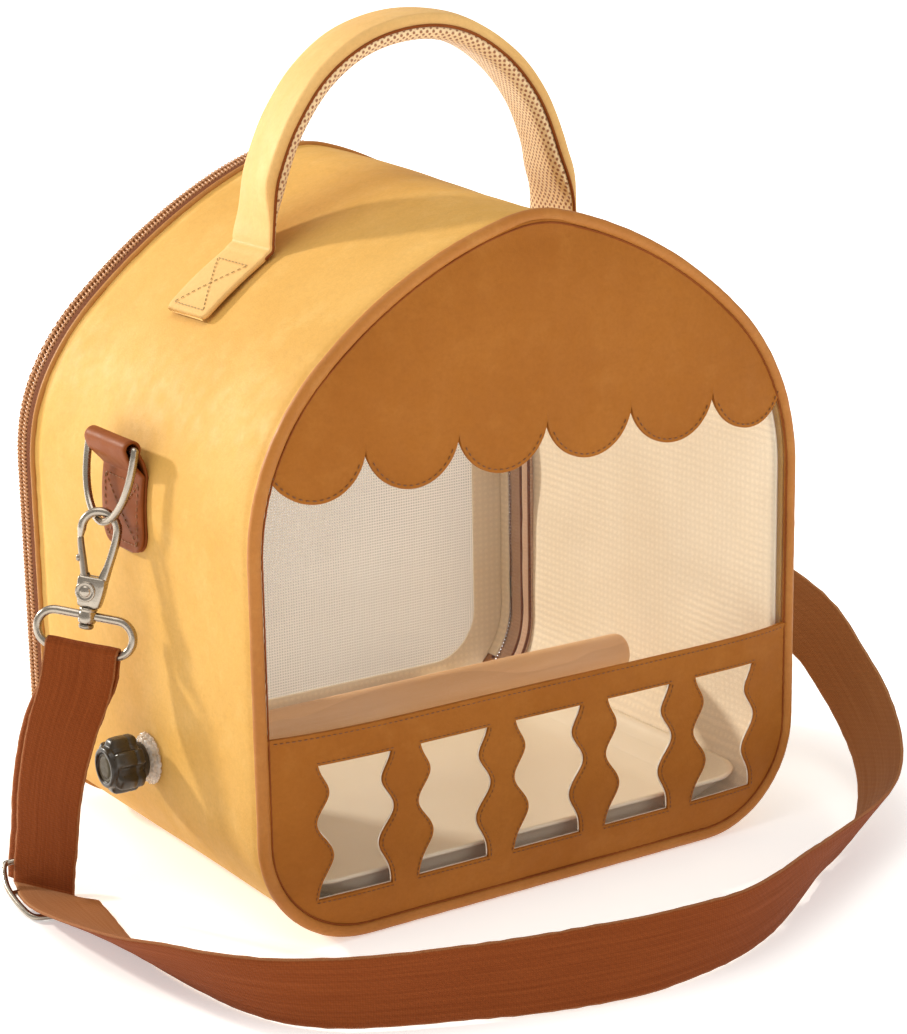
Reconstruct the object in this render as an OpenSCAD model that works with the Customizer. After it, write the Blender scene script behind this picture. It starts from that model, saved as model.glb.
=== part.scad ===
// Soft-sided travel carrier for a small bird, shaped like a little house.
// Millimetres. +X to the right, -Y is the front with the clear window, +Z up.
// The origin is on the ground under the middle of the bag.

/* [Bag] */
// Half of the width between the centrelines of the two edge pipings
half_w = 128; // [124:1:132]
// Radius of the two lower corners of the outline
corner_r = 44; // [38:1:50]
// Height at which the straight sides turn into the shoulders
side_top = 156; // [150:1:160]
// Radius of the shoulders
shoulder_r = 95; // [88:1:100]
// Radius of the long roof slopes
roof_r = 194; // [188:1:200]
// Front plane, the middle of the front piping
front_y = -104.3; // [-108:0.1:-100]
// Rear face of the shell, where the rear piping is sewn on
shell_back = 83.8; // [80:0.1:86]

/* [Front] */
// Height of the cusps between the scallops
scallop_z = 195; // [188:1:200]
// Distance between two cusps
scallop_pitch = 41; // [39:0.5:42]
// Drop of each scallop below the cusps
scallop_drop = 17.5; // [14:0.5:19]
// Height of the balustrade's top edge
rail_z = 88.6; // [86:0.2:92]
// Distance between two openings of the balustrade
opening_pitch = 45; // [44:0.5:46]
// Half width of an opening at its top and bottom
opening_half = 16.5; // [15:0.1:17]
// Lower end of the openings
opening_bottom = 20; // [18:0.5:24]
// Upper end of the openings
opening_top = 75.6; // [72:0.2:78]

/* [Handle] */
// Width of the carrying handle
handle_w = 32; // [28:1:34]
// Middle of the handle from front to back
handle_y = 5.7; // [0:0.1:8]

/* [Perch] */
// Radius of the wooden perch
perch_r = 8.2; // [7:0.1:9]
// Height of the perch's axis
perch_z = 55; // [50:1:60]
// Perch axis from front to back
perch_y = -12; // [-20:1:0]
// Free end of the perch
perch_end = 110; // [80:1:112]

/* [Strap and hardware] */
// Width of the shoulder strap
strap_w = 30; // [26:1:30]
// Wire radius of the D-rings
ring_wire = 1.6; // [1.4:0.1:1.7]
// Outward lean of each hanging clip
clip_lean = 12; // [10:0.5:13]

/* [Hidden] */
$fn = 48;

// ---------- outline of the bag, seen from the front ----------
floor_z = 2.6;                     // piping centreline above the ground
slope_a = 46;                      // end of the shoulder arc, degrees
roof_a = 75.5;                     // end of the roof arc, degrees
function dir(a) = [-cos(a), sin(a)];
c_low = [-half_w + corner_r, floor_z + corner_r];
c_sh = [-half_w + shoulder_r, side_top];
c_roof = c_sh + (shoulder_r - roof_r) * dir(slope_a);
apex_r = roof_r - c_roof[0] / cos(roof_a);
c_apex = c_roof + (roof_r - apex_r) * dir(roof_a);
// left half, from the bottom up to the apex, moved out by o
function half_line(o) = concat(
  [for (i = [0:9]) let(a = -90 + 10 * i) c_low + (corner_r + o) * dir(a)],
  [for (i = [0:6]) let(a = slope_a * i / 6) c_sh + (shoulder_r + o) * dir(a)],
  [for (i = [1:6]) let(a = slope_a + (roof_a - slope_a) * i / 6) c_roof + (roof_r + o) * dir(a)],
  [for (i = [1:3]) let(a = roof_a + (90 - roof_a) * i / 3) c_apex + (apex_r + o) * dir(a)]);
function outline(o) = let(h = half_line(o), n = len(h))
  concat(h, [for (i = [n - 2:-1:0]) [-h[i][0], h[i][1]]]);
module face(o) { polygon(outline(o)); }
module band(o1, o2) { difference() { face(o1); face(o2); } }
// draws a front view (x, z) between two depths
module slab(y0, y1) { rotate([90, 0, 0]) translate([0, 0, -y1]) linear_extrude(y1 - y0) children(); }
module above(z) { intersection() { children(); translate([-200, z]) square([400, 400]); } }
module below(z) { intersection() { children(); translate([-200, z - 400]) square([400, 400]); } }
// cylinder along +X from x0 to x1
module rod_x(x0, x1, r, y = 0, z = 0) { translate([x0, y, z]) rotate([0, 90, 0]) cylinder(h = x1 - x0, r = r); }
module plan(x0, x1, y0, y1, r) {
  union() {
    translate([x0 + r, y0]) square([x1 - x0 - 2 * r, y1 - y0]);
    translate([x0, y0 + r]) square([x1 - x0, y1 - y0 - 2 * r]);
    for (x = [x0 + r, x1 - r]) for (y = [y0 + r, y1 - r]) translate([x, y]) circle(r);
  }
}

y_pipe0 = front_y - 2.6;
y_pipe1 = front_y + 2.4;
y_shell = front_y + 2.5;
y_rp0 = shell_back + 0.1;          // rear piping
y_rp1 = y_rp0 + 3;
y_tape = y_rp1 + 0.1;              // body side of the zip
y_coil = y_tape + 6.2;
y_coil_door = y_coil + 4.5;
y_rim = y_coil_door + 3.2;
y_back = y_rim + 4.4;              // outer plate of the door
door_axis_y = y_coil + 2.3;
door_z = 15;                       // height of the door's hinge line
zip_z = 18;                        // lower end of the zip on each side

// ---------- bag ----------
module wall_hole(r) { rod_x(-half_w - 4, -half_w + 12, r, perch_y, perch_z); }
module outer_shell() { color("#e3b45f") difference() { slab(y_shell, shell_back) band(0, -1.6); wall_hole(4.3); } }
module shell_foam() { color("#d8d2c4") difference() { slab(y_shell + 2, shell_back - 2) band(-1.8, -3.8); wall_hole(4.3); } }
module lining() { color("#eddcb8") difference() { slab(y_shell, shell_back) band(-4, -4.8); wall_hole(4.3); } }
module base_panel() { color("#c98f45") linear_extrude(2.4) plan(-80, 80, -97, 80, 10); }
module base_board() { color("#d9c9a4") translate([0, 0, floor_z + 5]) linear_extrude(2.4) plan(-84, 84, -94, 72, 6); }
module front_piping() {
  color("#bd7f40") union() {
    slab(y_pipe0, y_pipe1) band(1.5, -1.5);
    slab(y_pipe0 + 0.9, y_pipe1 - 0.9) band(2.5, -2.5);
  }
}
module front_window() { color([0.9, 0.93, 0.92, 0.35]) slab(front_y + 1, front_y + 1.8) face(-2.7); }

scallop_r = (scallop_pitch * scallop_pitch / 4 + scallop_drop * scallop_drop) / (2 * scallop_drop);
module awning_panel() {
  color("#b9752f") slab(front_y - 0.8, front_y + 0.8) union() {
    above(scallop_z) face(-2.7);
    // whole scallops, and the two cut ones that reach the piping
    intersection() {
      face(-2.7);
      difference() {
        union() for (i = [-4:3]) translate([(i + 0.5) * scallop_pitch, scallop_z - scallop_drop + scallop_r]) circle(r = scallop_r, $fn = 96);
        translate([-200, scallop_z]) square([400, 300]);
      }
    }
  }
}
// half width of an opening at height share t, 0 at the bottom
function opening_x(t) = opening_half - 4.8 * exp(-pow((t - 0.8) / 0.13, 2)) + 1.5 * exp(-pow((t - 0.57) / 0.1, 2)) - 6.2 * exp(-pow((t - 0.33) / 0.16, 2));
opening_pts = [for (i = [0:18]) let(t = i / 18) [opening_x(t), opening_bottom + t * (opening_top - opening_bottom)]];
module opening() { polygon(concat(opening_pts, [for (i = [18:-1:0]) [-opening_pts[i][0], opening_pts[i][1]]])); }
module balustrade_panel() {
  color("#b0702c") slab(front_y - 0.8, front_y + 0.8) difference() {
    below(rail_z) face(-2.7);
    for (i = [-2:2]) translate([i * opening_pitch, 0]) opening();
  }
}
module rear_piping() { color("#c98a45") slab(y_rp0, y_rp1) band(1.4, -1.6); }
module rear_binding() { color("#8a4d28") slab(shell_back - 8, shell_back - 0.2) band(-5, -6.6); }
module rear_sill() {
  color("#d6a04e") union() {
    slab(y_tape, y_coil) below(door_z - 0.2) band(0, -1.6);
    slab(y_coil, y_coil + 1.6) below(door_z - 0.2) face(0);
  }
}
module hinge_strip() { color("#b87b3a") translate([-76, y_coil + 1.7, door_z - 1.2]) cube([152, y_back + 1.4 - y_coil - 1.7, 0.9]); }

// ---------- zip ----------
module zip_tape_body() { color("#8f4d25") slab(y_tape, y_coil - 0.1) above(zip_z) band(-0.3, -1.3); }
module zip_coil_body() { color("#b87a48") slab(y_coil, y_coil + 3.1) above(zip_z) band(0.8, -1.8); }
module zip_coil_door() { color("#b87a48") slab(y_coil_door, y_coil_door + 3.1) above(zip_z) band(0.8, -1.8); }
module zip_tape_door() { color("#8f4d25") slab(y_rim, y_back - 0.2) above(zip_z) band(-1.8, -2.8); }
slider_z = 56;
slider_y = y_coil + 3.8;           // middle of the gap between the two coil rows
module zip_slider() {
  color("#c9b79a") translate([half_w, slider_y, slider_z]) union() {
    translate([1.2, -4.6, -5]) cube([1.2, 9.2, 10]);
    translate([-3.4, -4.6, -5]) cube([1.2, 8.2, 10]);
    translate([-3, -0.35, 1]) cube([5, 0.7, 3.6]);
    // bridge that holds the pull
    difference() {
      translate([2.3, -1.2, -3.6]) cube([3.2, 2.4, 7.2]);
      translate([2.3, -2, -2.2]) cube([1.9, 4, 4.4]);
    }
  }
}
module zip_pull() {
  color("#c9b79a") translate([half_w + 3.3, slider_y, slider_z - 1.4]) union() {
    translate([0, -3, 0]) rotate([-90, 0, 0]) cylinder(h = 6, r = 0.7);
    for (y = [-3.4, 1.8]) translate([-0.7, y, -6]) cube([1.4, 1.6, 6.4]);
    difference() {
      translate([-0.7, -3.4, -24]) cube([1.4, 6.8, 18.2]);
      translate([-2, 0, -20]) rotate([0, 90, 0]) cylinder(h = 4, r = 1.6);
    }
  }
}

// ---------- rear door ----------
module door_rim() { color("#d9a552") slab(y_rim, y_back - 0.1) above(door_z + 0.3) band(0, -1.6); }
module door_frame() { color("#d9a552") slab(y_back, y_back + 1.6) above(door_z + 0.3) band(0, -20); }
module door_mesh() { color("#f2efe6") slab(y_back - 1.1, y_back - 0.2) above(door_z + 0.3) face(-16); }

// ---------- perch ----------
wall_in = -half_w + 4.8;
module perch_dowel() {
  color("#cfa06a") difference() {
    rod_x(wall_in + 2.2, perch_end, perch_r, perch_y, perch_z);
    rod_x(wall_in, wall_in + 28, 3.03, perch_y, perch_z);
  }
}
module perch_stud() { color("#9a958c") rod_x(-146.5, wall_in + 26, 3, perch_y, perch_z); }
module perch_inner_plate() { color("#b9b3a6") difference() { rod_x(wall_in + 0.2, wall_in + 2, 11.5, perch_y, perch_z); rod_x(wall_in - 1, wall_in + 4, 3.15, perch_y, perch_z); } }
module perch_eyelet() { color("#b9b3a6") difference() { rod_x(-half_w + 0.05, wall_in - 0.05, 4.2, perch_y, perch_z); rod_x(-half_w - 2, wall_in + 2, 3.15, perch_y, perch_z); } }
module perch_outer_washer() {
  color([0.92, 0.9, 0.85, 0.5]) difference() {
    union() {
      rod_x(-half_w - 1.6, -half_w - 0.15, 10.8, perch_y, perch_z);
      rod_x(-half_w - 3.4, -half_w - 1.7, 9.4, perch_y, perch_z);
      rod_x(-half_w - 1.8, -half_w - 1.5, 9, perch_y, perch_z);
    }
    rod_x(-half_w - 5, -half_w + 2, 3.3, perch_y, perch_z);
  }
}
knob_x = -half_w - 3.8;
module perch_knob() {
  color("#241b17") difference() {
    union() {
      rod_x(knob_x - 4, knob_x, 7.6, perch_y, perch_z);
      difference() {
        rod_x(knob_x - 15, knob_x - 3, 11.6, perch_y, perch_z);
        for (i = [0:5]) rotate_about(i * 60 + 30) rod_x(knob_x - 16, knob_x - 2, 3.2, 13.2, 0);
      }
      rod_x(knob_x - 17.4, knob_x - 14, 8.4, perch_y, perch_z);
    }
    rod_x(knob_x - 18, knob_x - 16.6, 6.2, perch_y, perch_z);
    rod_x(knob_x - 15.2, knob_x + 1, 3.06, perch_y, perch_z);
  }
}
module rotate_about(a) { translate([0, perch_y, perch_z]) rotate([a, 0, 0]) children(); }

// ---------- tray ----------
tray_z = floor_z + 7.6;
module tray_block(x0, x1, y0, y1, x0t, x1t, y0t, y1t, z0, z1, r) {
  hull() {
    translate([0, 0, z0]) linear_extrude(0.4) plan(x0, x1, y0, y1, r, $fn = 32);
    translate([0, 0, z1 - 0.4]) linear_extrude(0.4) plan(x0t, x1t, y0t, y1t, r + 3, $fn = 32);
  }
}
module tray() {
  color("#f0e2c4") union() {
    difference() {
      tray_block(-90, 90, -95, 66, -111, 111, -100, 74, tray_z, tray_z + 13, 16);
      tray_block(-88, 88, -93, 64, -109.6, 109.6, -98.6, 72.6, tray_z + 1.8, tray_z + 13.2, 16);
    }
    translate([0, 0, tray_z + 12]) linear_extrude(1.6) difference() { plan(-113, 113, -101, 75, 20); plan(-109.4, 109.4, -98.2, 72.2, 18); }
  }
}

// ---------- carrying handle ----------
// route of the handle's middle line (x, z) from the left foot to the right foot
handle_route = [[-63, 246], [-62.5, 256.2], [-60, 268], [-55, 285], [-46, 304], [-31, 322.5], [-10, 335], [14, 339.5], [36, 336], [56, 324], [71, 307], [80, 288], [85, 270], [86.5, 255], [85.5, 241.8], [84.5, 232]];
function cr(p0, p1, p2, p3, t) = 0.5 * ((2 * p1) + (p2 - p0) * t + (2 * p0 - 5 * p1 + 4 * p2 - p3) * t * t + (3 * p1 - p0 - 3 * p2 + p3) * t * t * t);
handle_line = [for (i = [1:len(handle_route) - 3]) for (k = [0:3]) cr(handle_route[i - 1], handle_route[i], handle_route[i + 1], handle_route[i + 2], k / 4)];
handle_n = len(handle_line);
function unit(v) = v / norm(v);
function tangent(l, i) = unit(l[min(i + 1, len(l) - 1)] - l[max(i - 1, 0)]);
// outward side of the arch is to the left of the travel direction
function side(l, i) = let(t = tangent(l, i)) [-t[1], t[0]];
function handle_t(i) = 2.6 + 2.1 * sin(180 * i / (handle_n - 1));
module handle_band(a, b, k0, k1, g0 = 0, g1 = 0) {
  line = [for (i = [a:b]) handle_line[i] + (i == a ? g0 : i == b ? -g1 : 0) * tangent(handle_line, i)];
  rotate([90, 0, 0]) translate([0, 0, -handle_y - handle_w / 2]) linear_extrude(handle_w)
    polygon(concat([for (i = [a:b]) line[i - a] + k1 * handle_t(i) * side(handle_line, i)],
                   [for (i = [b:-1:a]) line[i - a] + k0 * handle_t(i) * side(handle_line, i)]));
}
arch_a = 9;
arch_b = 42;
module handle_strip() { color("#dba653") handle_band(arch_a, arch_b, 0.02, 1); }
module handle_pad() { color("#efc9a4") handle_band(arch_a, arch_b, -1, -0.02); }
module handle_leg_left() { color("#dba653") handle_band(0, arch_a, -0.8, 0.8, 0, 0.3); }
module handle_leg_right() { color("#dba653") handle_band(arch_b, handle_n - 1, -0.8, 0.8, 0.3, 0); }
module handle_tab() {
  intersection() {
    slab(handle_y - 18, handle_y + 18) above(100) band(2.3, 0.1);
    linear_extrude(400) plan(-94, -58.5, handle_y - handle_w / 2 - 0.5, handle_y + handle_w / 2 + 0.5, 6);
  }
}
module handle_tab_left() { color("#dba653") handle_tab(); }
module handle_tab_right() { color("#dba653") mirror([1, 0, 0]) handle_tab(); }

// ---------- D-ring, swivel clip ----------
tab_y = -2;
tab_x = -half_w - 5.2;
tab_z = 185;
tab_half = 17.5;
module ring_tab() {
  union() {
    difference() {
      translate([tab_x, tab_y - tab_half, tab_z]) rotate([-90, 0, 0]) cylinder(h = 2 * tab_half, r = 3.9);
      translate([tab_x, tab_y - tab_half - 1, tab_z]) rotate([-90, 0, 0]) cylinder(h = 2 * tab_half + 2, r = 2.3);
    }
    translate([-half_w - 2.2, tab_y - tab_half, tab_z - 44]) cube([2, 2 * tab_half, 44]);
  }
}
module ring_tab_left() { color("#9b5a2c") ring_tab(); }
module ring_tab_right() { color("#9b5a2c") mirror([1, 0, 0]) ring_tab(); }
// frame of a hanging clip: origin on the roll's axis, -Z hangs down
module clip_frame() { translate([tab_x, tab_y, tab_z]) rotate([0, clip_lean, 0]) children(); }
// arc of wire in the local XY plane
module wire_arc(c, r, a0, a1, w) { translate([c[0], c[1], 0]) rotate([0, 0, a0]) rotate_extrude(angle = a1 - a0) translate([r, 0]) circle(w, $fn = 24); }
module wire_line(p, q, w) { d = q - p; translate([p[0], p[1], 0]) rotate([0, 0, atan2(d[1], d[0])]) rotate([0, 90, 0]) cylinder(h = norm(d), r = w, $fn = 24); }
ring_w = 19.6;                     // middle of each leg at the roll
ring_low = 9;                      // radius of the bow's lowest part
ring_a = 56;                       // turn of each bowed leg
ring_s = 0.6;                      // straight above each bowed leg
ring_side = (ring_w - ring_low * cos(ring_a) - ring_s * sin(ring_a)) / (1 - cos(ring_a));
ring_drop = 3 + ring_s + (ring_side - ring_low) * sin(ring_a) + ring_s * cos(ring_a) + ring_low;
// right half of the ring's wire, from the middle of the top bar to the lowest point
ring_half = concat([[0, 0], [18.4, 0], [ring_w, -1.2], [ring_w, -3]],
  [for (k = [1:6]) [ring_w - ring_side * (1 - cos(k * ring_a / 6)), -3 - ring_s - ring_side * sin(k * ring_a / 6)]],
  [for (a = [42, 28, 14, 0]) [ring_low * sin(a), ring_low - ring_drop - ring_low * cos(a)]]);
ring_loop = concat(ring_half, [for (i = [len(ring_half) - 2:-1:1]) [-ring_half[i][0], ring_half[i][1]]]);
// closed loop of wire in the local XY plane
module wire_loop(l, w, k = 16) {
  n = len(l);
  pts = [for (i = [0:n - 1]) let(
      d0 = unit(l[i] - l[(i + n - 1) % n]), d1 = unit(l[(i + 1) % n] - l[i]), t = unit(d0 + d1),
      s = [-t[1], t[0]] / sqrt((1 + d0 * d1) / 2))
    each [for (j = [0:k - 1]) let(a = 360 * j / k) [l[i][0] + w * cos(a) * s[0], l[i][1] + w * cos(a) * s[1], w * sin(a)]]];
  polyhedron(points = pts, faces = [for (i = [0:n - 1]) for (j = [0:k - 1])
    let(p = i * k + j, q = i * k + (j + 1) % k, r = ((i + 1) % n) * k + j, u = ((i + 1) % n) * k + (j + 1) % k) each [[p, q, u], [p, u, r]]], convexity = 6);
}
module knuckle(p, w) { translate([p[0], p[1], 0]) sphere(r = w + 0.07, $fn = 24); }
module d_ring() {
  clip_frame() rotate([90, 0, 90]) wire_loop(ring_loop, ring_wire);
}
module d_ring_left() { color("#c9bda6") d_ring(); }
module d_ring_right() { color("#c9bda6") mirror([1, 0, 0]) d_ring(); }
// hook plane: local X is turned towards the front, local Y is up
hook_turn = -44;
nose_r = 7.4;
hook_wire = 1.75;
nose_z = -ring_drop - nose_r + hook_wire + ring_wire + 0.6;
module hook_plane() { clip_frame() translate([0, 0, nose_z]) rotate([0, 0, hook_turn]) rotate([90, 0, 0]) children(); }
module hook() {
  hook_plane() union() {
    wire_arc([0, 0], nose_r, 0, 180, hook_wire);
    knuckle([nose_r, 0], hook_wire);
    wire_line([nose_r, 0], [3.4, -21.6], hook_wire);
    wire_line([-nose_r, 0], [-nose_r, -2.6], hook_wire);
    difference() {
      translate([0, 0, -2.9]) linear_extrude(5.8) polygon([[-5.6, -20.6], [5.6, -20.6], [4, -31], [-4, -31]]);
      // slot for the gate's foot
      translate([-7, -27.8, -1.1]) cube([6.9, 9, 2.2]);
      translate([-2.6, -25.2, -4]) cylinder(h = 8, r = 1.1);
    }
  }
}
module hook_left() { color("#c9bda6") hook(); }
module hook_right() { color("#c9bda6") mirror([1, 0, 0]) hook(); }
module gate() {
  hook_plane() union() {
    wire_line([-3.6, -18.8], [-7.2, -4.9], 1.35);
    difference() {
      translate([0, 0, -0.75]) linear_extrude(1.5) polygon([[-5.2, -27], [-0.9, -27], [-0.9, -23], [-2.6, -18.2], [-4.6, -18.2], [-5.2, -21]]);
      translate([-2.6, -25.2, -4]) cylinder(h = 8, r = 1.15);
    }
  }
}
module gate_left() { color("#bdb09a") gate(); }
module gate_right() { color("#bdb09a") mirror([1, 0, 0]) gate(); }
module gate_rivet() {
  hook_plane() translate([-2.6, -25.2, 0]) union() {
    translate([0, 0, -3.1]) cylinder(h = 6.2, r = 1.06);
    for (s = [-1, 1]) translate([0, 0, s * 3.3 - 0.35]) cylinder(h = 0.7, r = 1.9);
  }
}
module gate_rivet_left() { color("#a99d88") gate_rivet(); }
module gate_rivet_right() { color("#a99d88") mirror([1, 0, 0]) gate_rivet(); }
module swivel_stud() {
  hook_plane() rotate([90, 0, 0]) union() {
    translate([0, 0, 31.02]) cylinder(h = 8, r = 2);
    translate([0, 0, 38.5]) cylinder(h = 1.8, r = 3);
  }
}
module swivel_stud_left() { color("#c9bda6") swivel_stud(); }
module swivel_stud_right() { color("#c9bda6") mirror([1, 0, 0]) swivel_stud(); }
bail_top = -34.8;
bail_r = 7.25;
bail_half = 12.75;
module bail() {
  hook_plane() difference() {
    union() {
      wire_line([-bail_half, bail_top], [bail_half, bail_top], hook_wire);
      wire_line([-bail_half, bail_top - 2 * bail_r], [bail_half, bail_top - 2 * bail_r], hook_wire);
      wire_arc([bail_half, bail_top - bail_r], bail_r, -90, 90, hook_wire);
      wire_arc([-bail_half, bail_top - bail_r], bail_r, 90, 270, hook_wire);
      translate([0, -31.4, 0]) rotate([90, 0, 0]) cylinder(h = 6.7, r = 3.6);
    }
    translate([0, -30, 0]) rotate([90, 0, 0]) cylinder(h = 10, r = 2.3);
  }
}
module bail_left() { color("#c9bda6") bail(); }
module bail_right() { color("#c9bda6") mirror([1, 0, 0]) bail(); }

// ---------- shoulder strap ----------
// end loop around the lower bar of a bail
module strap_end() {
  hook_plane() translate([-strap_w / 2, bail_top - 2 * bail_r, 0]) rotate([90, 0, 90]) linear_extrude(strap_w) union() {
    difference() { circle(3.9); circle(2.5); translate([-6, -12]) square([12, 12]); }
    translate([-3.9, -9]) square([1.4, 9.01]);
    translate([2.5, -9]) square([1.4, 9.01]);
  }
}
module strap_end_left() { color("#7d3f1c") strap_end(); }
module strap_end_right() { color("#7d3f1c") mirror([1, 0, 0]) strap_end(); }

// each row: middle of the strap x, y, z, then the direction of its width x, y, z
left_front = [[-155, -4.4, 92.4, 70, -69, -15], [-157.6, -4.2, 84, 68, -72, -8], [-162, -3, 72, 62, -78, 0], [-165.8, -1, 56, 55, -84, 0], [-168.2, 0.6, 40, 50, -87, 0], [-169.2, 1.6, 26, 48, -88, 0], [-170.8, 2, 14, 47, -88, 0], [-171.8, 2, 5.2, 47, -88, 0]];
left_back = [[-150.6, 0.3, 91.4, 70, -69, -15], [-152, 0.6, 84, 68, -72, -8], [-156.8, 1.8, 72, 62, -78, 0], [-161.2, 3.2, 56, 55, -84, 0], [-163.8, 4.6, 40, 50, -87, 0], [-165.2, 5.2, 26, 48, -88, 0], [-167.4, 5.2, 14, 47, -88, 0], [-168.4, 5, 5.2, 47, -88, 0]];
main_route = [[-169.4, -4, 1.8, -86, -50, -4], [-173, -26.9, 4.3, -96, -17, 22], [-175.9, -49.8, 6.9, -92, 5, 40], [-177.4, -72.7, 9.4, -82, 6, 56], [-175.8, -95.5, 11.3, -72, -1, 70], [-171.2, -117.8, 13.3, -56, -8, 82], [-164.9, -139.5, 14.4, -41, -13, 90], [-154.6, -158.8, 15.2, -25, -14, 96], [-138.9, -173.8, 15.7, -11, -12, 99], [-119.1, -184.6, 15.9, -5, -10, 99], [-97.6, -193.4, 16, -2, -5, 100], [-75.5, -201.3, 15.9, 1, 5, 100], [-52.9, -207.4, 15.9, 2, 12, 99], [-30, -211.7, 15.8, 1, 10, 99], [-7.1, -212.6, 16, 1, -3, 100], [15.6, -210.5, 15.7, 4, -15, 99], [37.5, -203.5, 15.6, 8, -18, 98], [58.5, -193.3, 15.4, 13, -23, 97], [79.2, -182, 14.7, 21, -33, 92], [99.6, -170.2, 14, 25, -43, 87], [120.3, -159.6, 13.7, 25, -48, 84], [140.1, -147.8, 15.7, 27, -56, 79], [156.8, -133.3, 20.8, 29, -58, 76], [169.5, -116.2, 28.6, 30, -57, 76], [177.9, -97.4, 38.4, 35, -55, 76], [182.5, -77.7, 49.5, 36, -49, 79], [184.1, -58.6, 61.8, 44, -35, 83], [178.6, -38.4, 73.4, 65, -9, 76], [168.6, -19.3, 83.6, 79, 29, 54], [157.5, -6, 89.6, 74, 56, 30], [153.4, -2.4, 92.4, 70, 69, 15]];
function smooth(r, n) = let(q = concat([2 * r[0] - r[1]], r, [2 * r[len(r) - 1] - r[len(r) - 2]]))
  concat([for (i = [1:len(r) - 1]) for (k = [0:n - 1]) cr(q[i - 1], q[i], q[i + 1], q[i + 2], k / n)], [r[len(r) - 1]]);
function mid(s) = [s[0], s[1], s[2]];
function across(s) = [s[3], s[4], s[5]];
function ring_at(l, i, t, w) = let(
    p = mid(l[i]),
    d = unit(mid(l[min(i + 1, len(l) - 1)]) - mid(l[max(i - 1, 0)])),
    a = across(l[i]),
    b = unit(a - (a * d) * d),
    c = cross(d, b))
  [p + b * w / 2 + c * t / 2, p - b * w / 2 + c * t / 2, p - b * w / 2 - c * t / 2, p + b * w / 2 - c * t / 2];
module ribbon(route, n, t, w) {
  l = smooth(route, n);
  m = len(l);
  pts = [for (i = [0:m - 1]) each ring_at(l, i, t, w)];
  polyhedron(points = pts, faces = concat(
    [[0, 1, 2, 3]],
    [for (i = [0:m - 2]) for (k = [0:3]) let(a = 4 * i + k, b = 4 * i + (k + 1) % 4) each [[a, a + 4, b + 4], [a, b + 4, b]]],
    [[4 * m - 1, 4 * m - 2, 4 * m - 3, 4 * m - 4]]), convexity = 6);
}
module strap_left_run() { color("#7d3f1c") union() { ribbon(left_front, 2, 1.4, strap_w); ribbon(left_back, 2, 1.4, strap_w); } }
module strap_main() { color("#7d3f1c") ribbon(main_route, 2, 1.4, strap_w); }
module slide_buckle() {
  color("#c9bda6") translate([-188.5, -6, 9.8]) rotate([0, 0, -106]) rotate([0, 24, 0]) union() {
    difference() {
      translate([-18.5, -9, -1.3]) cube([37, 18, 2.6]);
      translate([-15.8, -6.4, -3]) cube([31.6, 4.9, 6]);
      translate([-15.8, 1.5, -3]) cube([31.6, 4.9, 6]);
    }
  }
}

outer_shell();
shell_foam();
lining();
base_panel();
base_board();
front_piping();
front_window();
awning_panel();
balustrade_panel();
rear_piping();
rear_binding();
rear_sill();
hinge_strip();
zip_tape_body();
zip_coil_body();
zip_coil_door();
zip_tape_door();
zip_slider();
zip_pull();
door_rim();
door_frame();
door_mesh();
perch_dowel();
perch_stud();
perch_inner_plate();
perch_eyelet();
perch_outer_washer();
perch_knob();
tray();
handle_strip();
handle_pad();
handle_leg_left();
handle_leg_right();
handle_tab_left();
handle_tab_right();
ring_tab_left();
ring_tab_right();
d_ring_left();
d_ring_right();
bail_left();
bail_right();
hook_left();
hook_right();
swivel_stud_left();
swivel_stud_right();
gate_left();
gate_right();
gate_rivet_left();
gate_rivet_right();
strap_end_left();
strap_end_right();
strap_left_run();
strap_main();
slide_buckle();
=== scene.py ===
import math
import bpy
import numpy as np
from mathutils import Matrix, Vector


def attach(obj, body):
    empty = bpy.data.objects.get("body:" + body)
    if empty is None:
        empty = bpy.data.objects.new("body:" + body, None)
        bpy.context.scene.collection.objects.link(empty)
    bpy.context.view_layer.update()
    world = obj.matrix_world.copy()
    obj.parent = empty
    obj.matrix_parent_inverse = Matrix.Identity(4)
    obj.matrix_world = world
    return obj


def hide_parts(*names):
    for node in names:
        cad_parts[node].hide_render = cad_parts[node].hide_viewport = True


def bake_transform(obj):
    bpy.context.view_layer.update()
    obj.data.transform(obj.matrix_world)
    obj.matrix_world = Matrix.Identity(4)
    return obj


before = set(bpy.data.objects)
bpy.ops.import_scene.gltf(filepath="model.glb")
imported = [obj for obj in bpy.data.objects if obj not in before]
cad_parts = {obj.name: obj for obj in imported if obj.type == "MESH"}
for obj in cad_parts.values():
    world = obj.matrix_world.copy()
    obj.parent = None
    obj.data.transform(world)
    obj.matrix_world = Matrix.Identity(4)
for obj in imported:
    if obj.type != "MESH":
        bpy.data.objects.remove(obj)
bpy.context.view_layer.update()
MM = 0.001
rng = np.random.RandomState(7)

# ------------------------------------------------------------------ camera
CAM = np.array([-594.03, -950.53, 435.11]) * MM
RIGHT = Vector((0.83410, -0.55137, -0.01630))
UP = Vector((0.15714, 0.20919, 0.96517))
FWD = Vector((0.52875, 0.80761, -0.26113))
cam_data = bpy.data.cameras.new("camera")
cam = bpy.data.objects.new("camera", cam_data)
bpy.context.scene.collection.objects.link(cam)
cam_data.sensor_fit = "AUTO"
cam_data.sensor_width = 36
cam_data.lens = 94.94
cam_data.clip_start, cam_data.clip_end = 0.05, 30
cam.matrix_world = Matrix((
    (RIGHT.x, UP.x, -FWD.x, CAM[0]),
    (RIGHT.y, UP.y, -FWD.y, CAM[1]),
    (RIGHT.z, UP.z, -FWD.z, CAM[2]),
    (0, 0, 0, 1)))
bpy.context.scene.camera = cam


# ------------------------------------------------------------------ helpers
def unit(v):
    v = np.asarray(v, float)
    return v / np.maximum(np.linalg.norm(v, axis=-1, keepdims=True), 1e-12)


def smooth01(t):
    t = np.clip(t, 0, 1)
    return t * t * (3 - 2 * t)


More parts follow.
